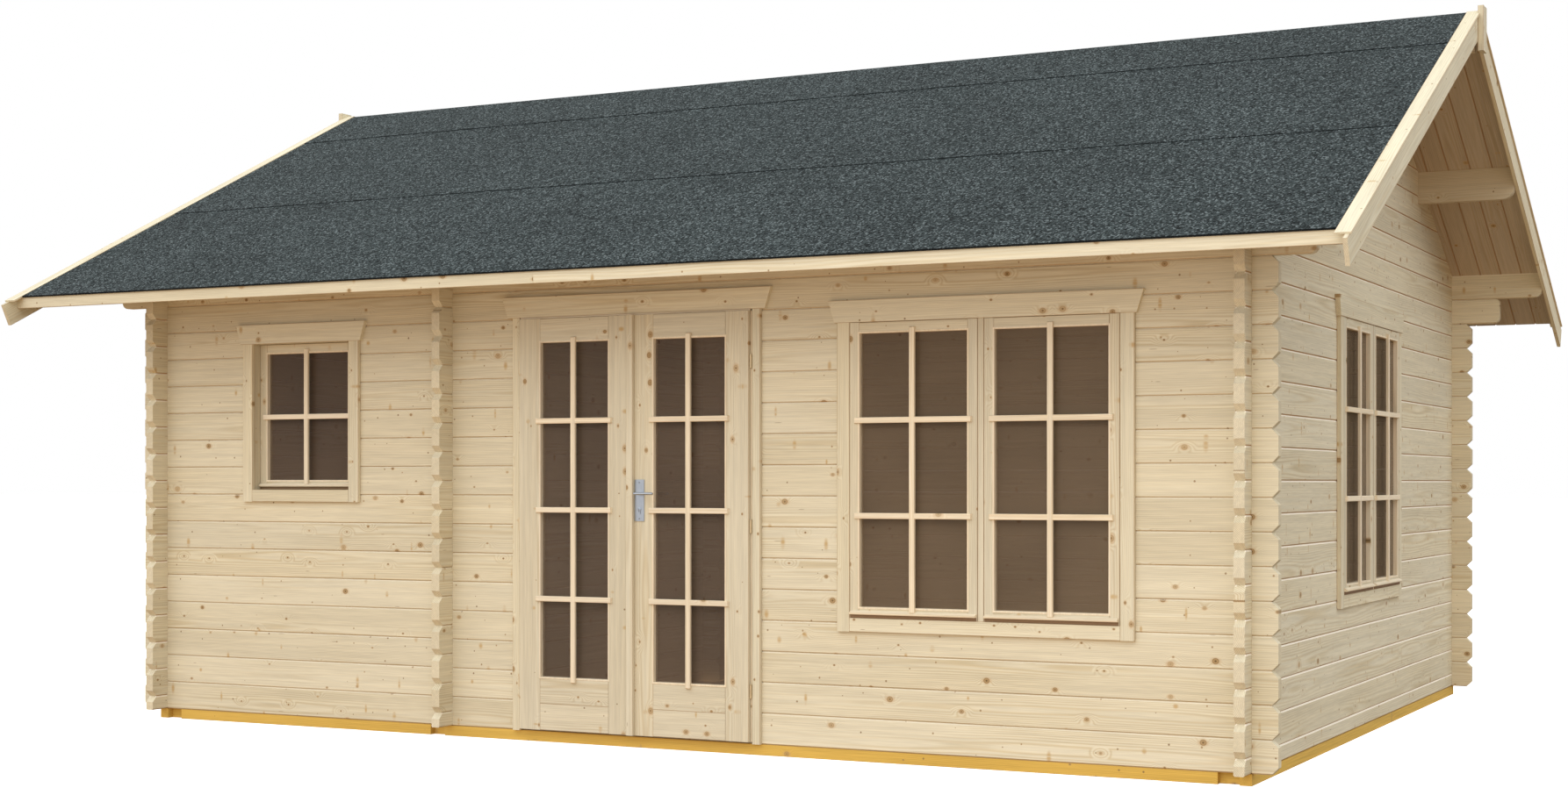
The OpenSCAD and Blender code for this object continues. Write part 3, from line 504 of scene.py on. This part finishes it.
materials = {
    "log_wood": wood("log_spruce", LOG_TINT, LOG_MARKS, edge=0.0045, edge_shade_mix=0.85, painted_highlight=0.3),
    "gable_log_wood": wood("gable_log_spruce", LOG_TINT, LOG_MARKS, edge=0.0055, edge_shade_mix=0.95, painted_highlight=0.95),
    # The purlins and the roof boards get darkened spruce: painted shade under the roof
    "shaded_purlin_wood": wood("purlin_spruce", SHADED_PURLIN_TINT, PURLIN_MARKS, edge=0.003, edge_shade_mix=0.3),
    "trim_wood": wood("trim_spruce", TRIM_TINT, TRIM_MARKS, edge=0.0025, edge_shade_mix=0.55),
    "casing_wood": wood(
        "casing_spruce", TRIM_TINT, CASING_MARKS, edge=0.0025, edge_shade_mix=0.55, knot_room=CLOSE_KNOT_ROOM
    ),
    "joinery_wood": wood(
        "joinery_spruce", LEAF_TINT, LEAF_MARKS, edge=0.002, edge_shade_mix=0.6, knot_room=CLOSE_KNOT_ROOM
    ),
    "bar_wood": wood("bar_spruce", BAR_TINT, BAR_MARKS, edge=0.001, edge_shade_mix=0.2),
    "roof_wood": wood("roof_board_spruce", SHADED_SOFFIT_TINT, BOARD_MARKS, edge=0.004, edge_shade_mix=0.8),
    "floor_wood": wood("floor_board_spruce", LOG_TINT, BOARD_MARKS, edge=0.002, edge_shade_mix=0.7),
    "treated_wood": wood("treated_spruce", TREATED_TINT, TREATED_MARKS, edge=0.003, edge_shade_mix=0.3),
    "roofing_felt": felt_material("roofing_felt"),
    "glass": glass_material("window_glass", *WINDOW_GLASS),
    "dim_glass": glass_material("door_glass", *DOOR_GLASS),
    "steel": metal_material("satin_steel", STEEL_TINT, rough=0.34),
    "zinc": metal_material("yellow_zinc", ZINC_TINT, rough=0.42),
    # Dark brown strips under the drip rails: painted shadow
    "seal": shadow_strip_material("brown_seal"),
    "shadow": metal_material("key_slot_dark", SLOT_TINT, rough=0.6),
}


# Boards and their grain

# A face whose normal agrees this far with the grain is an end
END_AGREES = 0.8


def board_numbers(mesh):
    """Places of a mesh's vertices, and for each the number of the separate board it is on."""
    place = np.empty(len(mesh.vertices) * 3)
    mesh.vertices.foreach_get("co", place)
    place = place.reshape(-1, 3)
    same = np.unique(np.round(place, 5), axis=0, return_inverse=True)[1].ravel()
    ends = np.empty(len(mesh.edges) * 2, int)
    mesh.edges.foreach_get("vertices", ends)
    a, b = same[ends[0::2]], same[ends[1::2]]
    label = np.arange(same.max() + 1)
    while True:
        low = np.minimum(label[a], label[b])
        new = label.copy()
        np.minimum.at(new, a, low)
        np.minimum.at(new, b, low)
        new = new[new]
        if np.array_equal(new, label):
            return place, label[same]
        label = new


def island_boxes(name):
    """Low and high corners of each separate solid in a CAD node, from left to right or front to back."""
    place, board = board_numbers(nodes[name].data)
    boxes = [(Vector(place[board == k].min(0)), Vector(place[board == k].max(0))) for k in np.unique(board)]
    return sorted(boxes, key=lambda b: (round(b[0].x, 3), round(b[0].y, 3), round(b[0].z, 3)))


def store(mesh, name, values, domain="POINT"):
    """Numbers or vectors for the materials to read, on the mesh's points or faces."""
    kind, field = ("FLOAT_VECTOR", "vector") if values.ndim == 2 else ("FLOAT", "value")
    mesh.attributes.new(name, kind, domain).data.foreach_set(field, np.ravel(values))


def mark_ends(mesh, agrees):
    """Marks the faces that are ends, from how far each face's normal agrees with the grain."""
    store(mesh, "end", (np.array(agrees) > END_AGREES).astype(float), "FACE")


def grain(obj, sloped):
    """Gives each board its own place along and across the grain, half sizes and a random tone."""
    mesh = obj.data
    place, board = board_numbers(mesh)
    own = np.zeros_like(place)
    half = np.zeros_like(place)
    tone = np.zeros(len(place))
    along = np.zeros_like(place)
    chance = random.Random(obj.name)
    for number in np.unique(board):
        mine = board == number
        side = -1 if place[mine].mean(0)[1] < 0 else 1
        turn = np.array(Matrix.Rotation(side * PITCH if sloped else 0, 3, "X"))
        local = place[mine] @ turn.T
        low, high = local.min(0), local.max(0)
        order = np.argsort(low - high)[[0, 2, 1]]
        own[mine] = (local - (low + high) / 2)[:, order]
        half[mine] = ((high - low) / 2)[order]
        tone[mine] = chance.random()
        along[mine] = turn[order[0]]
    store(mesh, "grain", own)
    store(mesh, "half", half)
    store(mesh, "tone", tone)
    mark_ends(mesh, [abs(along[p.vertices[0]] @ np.array(p.normal)) for p in mesh.polygons])


def felt_edges(obj):
    """Marks the faces of the felt that look down the slope: its lap steps and lower edge."""
    side = -1 if obj.name == "front_felt" else 1
    down = np.array((0.0, side * math.cos(PITCH), -math.sin(PITCH)))
    mark_ends(obj.data, [np.array(p.normal) @ down for p in obj.data.polygons])


def dress(obj, finish, sloped=False):
    """Gives a piece its material, and a wooden one its grain."""
    obj.data.materials.clear()
    obj.data.materials.append(materials[finish])
    if finish.endswith("_wood"):
        grain(obj, sloped)


def new_piece(name, bm, body, finish, sloped=False):
    """Object from a bmesh, riding on a body."""
    bmesh.ops.recalc_face_normals(bm, faces=bm.faces)
    mesh = bpy.data.meshes.new(name)
    bm.to_mesh(mesh)
    bm.free()
    obj = bpy.data.objects.new(name, mesh)
    bpy.context.scene.collection.objects.link(obj)
    dress(obj, finish, sloped)
    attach(obj, body)
    return obj


# Mesh code


def sweep(bm, rings):
    """Closed solid through equal outlines, one after the other."""
    made = [[bm.verts.new(p) for p in ring] for ring in rings]
    count = len(made[0])
    for one, two in zip(made, made[1:]):
        for k in range(count):
            bm.faces.new((one[k], one[(k + 1) % count], two[(k + 1) % count], two[k]))
    bm.faces.new(made[0])
    bm.faces.new(made[-1])


def plank(bm, place, shape, a, b):
    """Solid with an outline in a plank's cross section, run from a to b by the given placing function."""
    sweep(bm, [[place(s, t, end) for s, t in shape] for end in (a, b)])


class Face:
    """Flat face to build on: x along it, z up, out towards the viewer, from its lower left corner."""

    def __init__(self, origin, right, out):
        self.origin = Vector(origin)
        self.right = Vector(right)
        self.out = Vector(out)

    def at(self, x, z, out):
        return self.origin + self.right * x + UP * z + self.out * out


# Glazing sizes; SEAT is the hair's breadth that keeps a piece off the solid that carries it
SEAT = 0.0003
GLASS_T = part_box("small_window_glass")[1].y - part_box("small_window_glass")[0].y
BAR_W = 0.025
BAR_T = 0.012
BAR_LAP = 0.021
BAR_ROW = 0.405
BAR_ROUND = 0.004
BAR_CUT = 0.004
ROUND_STEPS = 4
UPRIGHT_PROUD = 0.0015
BEAD_LIP = 0.006
BEAD_PROUD = 0.0022
BEAD_STAND = 0.0022
INNER_BEAD_TALL = 0.004
INNER_BEAD_INSET = 0.003
LEAF_ROWS = 4
WINDOW_ROWS = 3
SMALL_ROWS = 2
WINDOW_LIFT = 0.009
FRONT = ((1, 0, 0), (0, -1, 0))
RIGHT = ((0, 1, 0), (1, 0, 0))


def bar(bm, face, a, b, high):
    """Glazing bar from a to b on a face, standing out to high, with rounded front edges and sloped ends."""
    a, b = Vector(a), Vector(b)
    along = (b - a).normalized()
    across = Vector((-along.y, along.x))
    turns = [math.pi / 2 * k / ROUND_STEPS for k in range(ROUND_STEPS + 1)]
    edge = [(BAR_ROUND * (1 - math.cos(t)), high - BAR_ROUND * (1 - math.sin(t))) for t in turns]
    shape = [(-BAR_W / 2, SEAT), (BAR_W / 2, SEAT)]
    shape += [(BAR_W / 2 - inward, out) for inward, out in edge]
    shape += [(-BAR_W / 2 + inward, out) for inward, out in reversed(edge)]
    rings = []
    for end, sign in ((a, 1), (b, -1)):
        ring = []
        for s, out in shape:
            back = BAR_CUT * (out - SEAT) / (high - SEAT)
            p = end + along * (sign * back) + across * s
            ring.append(face.at(p.x, p.y, out))
        rings.append(ring)
    sweep(bm, rings)


def bead(bm, face, glass, shape):
    """Mitred bead round a pane. The shape's s runs inwards from the opening's edge, and out to the viewer."""
    x0, z0, x1, z1 = glass
    corners = ((x0, z0, 1, 1), (x1, z0, -1, 1), (x1, z1, -1, -1), (x0, z1, 1, -1))
    for k in range(4):
        rings = []
        for x, z, sx, sz in (corners[k], corners[(k + 1) % 4]):
            rings.append([face.at(x + sx * s, z + sz * s, out) for s, out in shape])
        sweep(bm, rings)


def glazing(name, body, face, glass, rows, lift, glass_deep, leaf_deep):
    """Bars and beads of one pane. glass = (x0, z0, x1, z1) on the face, and lies glass_deep behind it.
    The level bars are one row apart, and as a group lift above the middle of the glass."""
    x0, z0, x1, z1 = glass
    bars = bmesh.new()
    for k in range(rows - 1):
        z = (z0 + z1) / 2 + lift + (k - (rows - 2) / 2) * BAR_ROW
        bar(bars, face, (x0 - BAR_LAP, z), (x1 + BAR_LAP, z), BAR_T)
    x = (x0 + x1) / 2
    bar(bars, face, (x, z0 - BAR_LAP), (x, z1 + BAR_LAP), BAR_T + UPRIGHT_PROUD)
    new_piece(name + "_bars", bars, body, "bar_wood")
    beads = bmesh.new()
    outer = [
        (-BEAD_LIP, SEAT),
        (-BEAD_LIP, BEAD_PROUD * 0.5),
        (-BEAD_LIP * 0.7, BEAD_PROUD),
        (0.0, BEAD_PROUD),
        (BEAD_STAND, BEAD_PROUD * 0.3),
        (BEAD_STAND, SEAT - glass_deep),
        (SEAT, SEAT - glass_deep),
        (SEAT, SEAT),
    ]
    bead(beads, face, glass, outer)
    back = -glass_deep - GLASS_T - SEAT
    foot = -leaf_deep + INNER_BEAD_INSET
    inner = [
        (SEAT, back),
        (BEAD_STAND * 2, back),
        (BEAD_STAND * 2, back - INNER_BEAD_TALL),
        (BEAD_STAND, foot),
        (SEAT, foot),
    ]
    bead(beads, face, glass, inner)
    new_piece(name + "_beads", beads, body, "bar_wood")


def pane_on(face, glass_box):
    """Pane of a glass box in the face's own x and z."""
    low, high = glass_box
    spots = [((p - face.origin).dot(face.right), p.z - face.origin.z) for p in (low, high)]
    xs, zs = sorted(s[0] for s in spots), sorted(s[1] for s in spots)
    return xs[0] - SEAT, zs[0] - SEAT, xs[1] + SEAT, zs[1] + SEAT


def front_glazing(name, body, leaf, glass, rows, lift):
    """Glazing of a pane in a leaf or sash that looks to the front."""
    face = Face((0, leaf[0].y, 0), *FRONT)
    glass_deep, leaf_deep = glass[0].y - leaf[0].y, leaf[1].y - leaf[0].y
    glazing(name, body, face, pane_on(face, glass), rows, lift, glass_deep, leaf_deep)


def glaze_all():
    """Bars and beads of every pane, on the leaves and sashes that hold them."""
    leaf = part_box("left_leaf")
    for side in ("left", "right"):
        front_glazing(side + "_leaf", side + "_door", leaf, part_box(side + "_leaf_glass"), LEAF_ROWS, 0.0)
    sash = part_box("front_window_sashes")
    for side, glass in zip(("left", "right"), island_boxes("front_window_glass")):
        front_glazing("front_window_" + side, "house", sash, glass, WINDOW_ROWS, WINDOW_LIFT)
    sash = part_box("gable_window_sashes")
    face = Face((sash[1].x, 0, 0), *RIGHT)
    for side, glass in zip(("front", "back"), island_boxes("gable_window_glass")):
        pane = pane_on(face, glass)
        glass_deep, leaf_deep = sash[1].x - glass[1].x, sash[1].x - sash[0].x
        glazing("gable_window_" + side, "house", face, pane, WINDOW_ROWS, WINDOW_LIFT, glass_deep, leaf_deep)
    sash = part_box("small_window_sash")
    front_glazing("small_window", "house", sash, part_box("small_window_glass"), SMALL_ROWS, 0.0)


# Rails, the painted shadow strips under them, and door seals


def drip_rails():
    """Sloped rail along the bottom of each opening sash, with a dark brown strip of painted shadow under it.
    """
    rails = bmesh.new()
    shadow_strips = bmesh.new()
    out, tall, up, chamfer, crest = 0.017, 0.016, 0.014, 0.003, 0.002
    rail = [(0.0, 0.0), (out - chamfer, 0.0), (out, chamfer), (out, tall * 0.45), (crest, tall), (0.0, tall)]
    # Shape of the dark strip under the rail, which is painted shadow
    foot, bend, thick = 0.0005, 0.003, 0.005
    seal = [(0.0, foot), (bend, foot), (thick, bend), (thick, up - SEAT), (0.0, up - SEAT)]
    past_glass = 0.040

    def front_spot(sash, glass):
        low, high = glass
        return Face((0, sash[0].y - SEAT, sash[0].z), *FRONT), low.x - past_glass, high.x + past_glass

    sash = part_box("front_window_sashes")
    spots = [front_spot(sash, glass) for glass in island_boxes("front_window_glass")]
    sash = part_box("gable_window_sashes")
    gable = Face((sash[1].x + SEAT, 0, sash[0].z), *RIGHT)
    for low, high in island_boxes("gable_window_glass"):
        spots.append((gable, low.y - past_glass, high.y + past_glass))
    spots.append(front_spot(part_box("small_window_sash"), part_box("small_window_glass")))
    for face, a, b in spots:
        plank(rails, lambda s, t, end: face.at(end, up + t, s), rail, a, b)
        plank(shadow_strips, lambda s, t, end: face.at(end, t, s), seal, a, b)
    new_piece("drip_rails", rails, "house", "bar_wood")
    new_piece("sash_seals", shadow_strips, "house", "seal")


def door_seals():
    """Strips on the casings beside and above the closed leaves, between the hinges, with a thin line free."""
    bm = bmesh.new()
    line, deep, chamfer = 0.0013, 0.012, 0.001
    pin_reach = 0.03
    header, left, right = island_boxes("door_casing")
    low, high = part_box("left_leaf")[0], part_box("right_leaf")[1]

    def section(width):
        return [(SEAT, 0.0), (width - chamfer, 0.0), (width, chamfer), (width, deep), (SEAT, deep)]

    front = left[0].y + line
    for edge, leaf_edge in ((left[1].x, low.x), (right[0].x, high.x)):
        inward = 1 if leaf_edge > edge else -1
        stops = [low.z, high.z]
        for pin_low, pin_high in island_boxes("hinge_pins"):
            if abs(pin_low.x - edge) < pin_reach:
                stops += [pin_low.z - line, pin_high.z + line]
        stops.sort()
        shape = section(abs(leaf_edge - edge) - line)
        for a, b in zip(stops[0::2], stops[1::2]):
            plank(bm, lambda s, t, end: Vector((edge + inward * s, front + t, end)), shape, a, b)
    front = max(header[0].y, low.y) + line
    shape = section(header[0].z - high.z - line)
    plank(bm, lambda s, t, end: Vector((end, front + t, header[0].z - s)), shape, low.x, high.x)
    new_piece("door_seals", bm, "house", "bar_wood")


# Roof boards and floor boards


def roof_boards():
    """Grooved boards down each slope, in the place of the plain deck solids."""
    thick, want, gap, groove = 0.019, 0.110, 0.0004, 0.004
    rise = thick / math.cos(PITCH)
    for name, side in (("front_roof_deck", -1), ("back_roof_deck", 1)):
        low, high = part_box(name)
        ridge_y, eave_y = (high.y, low.y) if side < 0 else (low.y, high.y)
        run = Vector((0, eave_y - ridge_y, -abs(eave_y - ridge_y) * math.tan(PITCH)))
        count = round((high.x - low.x) / want)
        width = (high.x - low.x) / count
        shape = [
            (gap, 0.0),
            (width - gap, 0.0),
            (width - gap, -rise + groove),
            (width - gap - groove, -rise),
            (gap + groove, -rise),
            (gap, -rise + groove),
        ]
        bm = bmesh.new()
        for k in range(count):
            start = Vector((low.x + k * width, ridge_y, high.z))
            plank(bm, lambda s, t, end: start + run * end + Vector((s, 0, t)), shape, 0.0, 1.0)
        obj = new_piece(name + "_boards", bm, "house", "roof_wood", sloped=True)
        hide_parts(name)


def floor_planks():
    """Floor boards along the house in each room, in the place of the plain floor solids. In the main room,
    which starts past main_room_x, they stay clear of the cross wall's log ends."""
    bm = bmesh.new()
    want, gap, chamfer = 0.092, 0.0005, 0.0015
    main_room_x, clear = -1.5, 0.003
    notch_low, notch_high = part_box("cross_wall")
    for low, high in island_boxes("floor_boards"):
        count = round((high.y - low.y) / want)
        width = (high.y - low.y) / count
        shape = [
            (gap, low.z),
            (width - gap, low.z),
            (width - gap, high.z - chamfer),
            (width - gap - chamfer, high.z),
            (gap + chamfer, high.z),
            (gap, high.z - chamfer),
        ]
        for k in range(count):
            y = low.y + k * width
            start = low.x
            if low.x > main_room_x and y < notch_high.y + clear and y + width > notch_low.y - clear:
                start = notch_high.x + clear
            plank(bm, lambda s, t, end: Vector((end, y + s, t)), shape, start, high.x)
    obj = new_piece("floor_planks", bm, "house", "floor_wood")
    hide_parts("floor_boards")


# Handle plates
PLATE_SEAT = 0.0001
HEAD_DISH = 0.0008
HEAD_SIDES = 20
SCREW_INSET = 0.012
SCREW_RADIUS = 0.0042
SCREW_OUT = 0.0014
CROSS_LONG = 0.0026
CROSS_WIDE = 0.0005
CROSS_FROM = 0.0010
CROSS_TO = 0.00155
LOCK_UP = 0.052
LOCK_RADIUS = 0.0085
LOCK_OUT = 0.0030
BARREL_HALF = 0.0055
BARREL_DROP = 0.015
BARREL_STEPS = 8
BARREL_OUT = 0.0026
SLIT_HALF = 0.0009
SLIT_LOW = -0.012
SLIT_HIGH = 0.004
SLIT_OUT = 0.0032


def head(bm, centre, radius, high, out):
    """Round domed head on a plate, standing out to high."""
    outline = (
        (radius, PLATE_SEAT),
        (radius, high - HEAD_DISH),
        (radius * 0.8, high - HEAD_DISH * 0.25),
        (radius * 0.35, high),
    )
    turns = [2 * math.pi * k / HEAD_SIDES for k in range(HEAD_SIDES)]
    rings = []
    for r, o in outline:
        rings.append([centre + Vector((r * math.cos(t), out * o, r * math.sin(t))) for t in turns])
    sweep(bm, rings)


def plate_spot(x, y, z, out):
    """Placing function for an outline around a spot on a plate."""
    return lambda s, t, end: Vector((x + s, y + out * end, z + t))


def rectangle(half_wide, low, high):
    return [(-half_wide, low), (half_wide, low), (half_wide, high), (-half_wide, high)]


def lock_details():
    """Screws, lock cylinder and key slot on both handle plates."""
    low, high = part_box("handle_plates")
    x = (low.x + high.x) / 2
    lock_z = low.z + LOCK_UP
    heads = bmesh.new()
    slots = bmesh.new()
    barrel = [(-BARREL_HALF, 0.0), (BARREL_HALF, 0.0)]
    for k in range(BARREL_STEPS + 1):
        t = math.pi * k / BARREL_STEPS
        barrel.append((BARREL_HALF * math.cos(t), -BARREL_DROP - BARREL_HALF * math.sin(t)))
    slit = rectangle(SLIT_HALF, SLIT_LOW, SLIT_HIGH)
    for y, out in ((low.y, -1), (high.y, 1)):
        for z in (low.z + SCREW_INSET, high.z - SCREW_INSET):
            head(heads, Vector((x, y, z)), SCREW_RADIUS, SCREW_OUT, out)
            screw = plate_spot(x, y, z, out)
            # The crosses and the key slit are near black pieces: painted shade in their recesses
            for long, wide in ((CROSS_LONG, CROSS_WIDE), (CROSS_WIDE, CROSS_LONG)):
                plank(slots, screw, rectangle(long, -wide, wide), CROSS_FROM, CROSS_TO)
        head(heads, Vector((x, y, lock_z)), LOCK_RADIUS, LOCK_OUT, out)
        lock = plate_spot(x, y, lock_z, out)
        plank(heads, lock, barrel, PLATE_SEAT, BARREL_OUT)
        plank(slots, lock, slit, BARREL_OUT, SLIT_OUT)
    new_piece("plate_screws_and_lock", heads, "right_door", "steel")
    new_piece("key_slots", slots, "right_door", "shadow")


# Finishes of the solids
SOLIDS = {
    "log_wood": "front_wall back_wall partition_wall cross_wall",
    "gable_log_wood": "left_gable_wall right_gable_wall",
    "shaded_purlin_wood": "ridge_purlin mid_purlins",
    "treated_wood": "side_sills front_sills back_sills bearers floor_joists",
    "roof_wood": "front_roof_deck back_roof_deck",
    "floor_wood": "floor_boards",
    "trim_wood": "fascias barge_boards barge_caps apex_plates",
    "casing_wood": "door_casing front_window_casing gable_window_casing small_window_casing",
    "joinery_wood": "door_frame left_leaf right_leaf meeting_strip front_window_frame front_window_sashes "
    "gable_window_frame gable_window_sashes small_window_frame small_window_sash",
    "roofing_felt": "front_felt back_felt",
    "glass": "front_window_glass gable_window_glass",
    "dim_glass": "left_leaf_glass right_leaf_glass small_window_glass",
    "steel": "handle_plates handle_lever",
    "zinc": "hinge_pins left_leaf_knuckles right_leaf_knuckles",
}
FINISH = {node_name: finish for finish, names in SOLIDS.items() for node_name in names.split()}
SLOPED = ("barge_boards", "barge_caps", "front_roof_deck", "back_roof_deck")

for node_name, obj in nodes.items():
    dress(obj, FINISH[node_name], node_name in SLOPED)
for node_name in ("front_felt", "back_felt"):
    felt_edges(nodes[node_name])
glaze_all()
drip_rails()
door_seals()
roof_boards()
floor_planks()
lock_details()


# Stage, light and camera; an EDGE is where one light passes into the next
FLOOR_HALF = 150.0
FLOOR_DROP = 0.0005
FLOOR_TINT = (0.9, 0.9, 0.9)
FLOOR_ROUGH = 0.9
FLOOR_GLOW = 0.75
FLOOR_GLOW_EDGE = 0.02
WHITE = (1.0, 1.0, 1.0)
GROUND_BEHIND = (0.03, 0.02, 0.012)
GROUND_AHEAD = (0.72, 0.48, 0.285)
ROUND_BEHIND = (1.45, 1.45, 1.45)
ROUND_AHEAD = (0.5, 0.5, 0.5)
AHEAD_EDGE = (-0.2, 0.5)
GROUND_EDGE = (-0.12, -0.03)
DIM_WAY = Vector((0.2, 0.98, 0.0))
DIM_SPOT = (0.16, 0.12, 0.08)
DIM_EDGE = (0.94, 0.985)
OVERHEAD = (1.22, 1.22, 1.22)
OVERHEAD_EDGE = (0.2, 0.4)
LIGHT_FROM = Vector((-0.25, -0.80, 0.55)).normalized()
LIGHT_LOBE = (0.55, 0.55, 0.55)
LIGHT_EDGE = (0.35, 1.0)
LAMP_POWER = 21.0
LAMP_SIZE = 1.5
LAMP_AT = (2.6, -6.3, 1.6)
FRAME_W = 1786
FRAME_H = 906
FOCAL_PX = 2516.4
CENTRE_X = 893.0
HORIZON_Y = 549.7
SENSOR_MM = 36
CAMERA_AT = (5.0947, -10.6389, 1.1883)
CAMERA_TURN = math.radians(27.07)
CLIP_END = 1000


def pale_floor():
    """White floor that glows a little, with painted shade under the house where it does not glow."""
    bm = bmesh.new()
    bmesh.ops.create_grid(bm, x_segments=1, y_segments=1, size=FLOOR_HALF)
    mesh = bpy.data.meshes.new("pale_floor")
    bm.to_mesh(mesh)
    bm.free()
    floor = bpy.data.objects.new("pale_floor", mesh)
    floor.location = (0, 0, -FLOOR_DROP)
    bpy.context.scene.collection.objects.link(floor)
    made, n, shader = new_material("pale_floor")
    shader.inputs["Base Color"].default_value = colour(FLOOR_TINT)
    shader.inputs["Roughness"].default_value = FLOOR_ROUGH
    shader.inputs["Emission Color"].default_value = colour(WHITE)
    place = n.parts(n.place())
    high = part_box("floor_boards")[1]
    # No glow inside the footprint: painted shade under the house
    past_x = n.minus(n.math("ABSOLUTE", place[0]), high.x)
    past_y = n.minus(n.math("ABSOLUTE", place[1]), high.y)
    past = n.math("MAXIMUM", past_x, past_y)
    drive(n, shader, Emission_Strength=n.step(past, 0.0, FLOOR_GLOW_EDGE, 0.0, FLOOR_GLOW))
    mesh.materials.append(made)
    floor.visible_diffuse = False
    floor.visible_glossy = False


def soft_studio():
    """White studio round the house: bright above and in front, dim from below, with a soft box before the
    right end of the front."""
    world = bpy.data.worlds.new("soft_studio")
    bpy.context.scene.world = world
    world.use_nodes = True
    n = Nodes(world.node_tree)
    back = world.node_tree.nodes["Background"]
    way = n.node("TexCoord", {}).outputs["Generated"]
    height = n.parts(way)[2]
    ahead = n.step(n.times(n.parts(way)[1], -1.0), *AHEAD_EDGE)
    ground = n.mix(ahead, GROUND_BEHIND, GROUND_AHEAD)
    around = n.mix(ahead, ROUND_BEHIND, ROUND_AHEAD)
    around = n.mix(n.step(n.facing(way, DIM_WAY), *DIM_EDGE), around, DIM_SPOT)
    shade = n.mix(n.step(height, *GROUND_EDGE), ground, around)
    shade = n.mix(n.step(height, *OVERHEAD_EDGE), shade, OVERHEAD)
    glow = n.mix(n.step(n.facing(way, LIGHT_FROM), *LIGHT_EDGE), shade, LIGHT_LOBE, "ADD")
    seen = n.node("LightPath", {}).outputs["Is Camera Ray"]
    world.node_tree.links.new(n.mix(seen, glow, WHITE), back.inputs["Color"])
    back.inputs["Strength"].default_value = 1.0
    lamp = bpy.data.lights.new("soft_box", "AREA")
    lamp.energy = LAMP_POWER
    lamp.size = LAMP_SIZE
    soft_box = bpy.data.objects.new("soft_box", lamp)
    soft_box.location = LAMP_AT
    soft_box.rotation_euler = (math.pi / 2, 0, 0)
    soft_box.visible_camera = False
    soft_box.visible_glossy = False
    bpy.context.scene.collection.objects.link(soft_box)


def photo_camera():
    """Level camera with a shifted lens, from the solved focal length, horizon and standpoint."""
    data = bpy.data.cameras.new("photo_camera")
    data.sensor_width = SENSOR_MM
    data.lens = SENSOR_MM * FOCAL_PX / FRAME_W
    data.shift_x = (FRAME_W / 2 - CENTRE_X) / FRAME_W
    data.shift_y = (HORIZON_Y - FRAME_H / 2) / FRAME_W
    data.clip_end = CLIP_END
    camera = bpy.data.objects.new("photo_camera", data)
    camera.location = CAMERA_AT
    camera.rotation_euler = (math.pi / 2, 0, CAMERA_TURN)
    bpy.context.scene.collection.objects.link(camera)
    bpy.context.scene.camera = camera


pale_floor()
soft_studio()
photo_camera()
bpy.context.scene.view_settings.view_transform = "Standard"
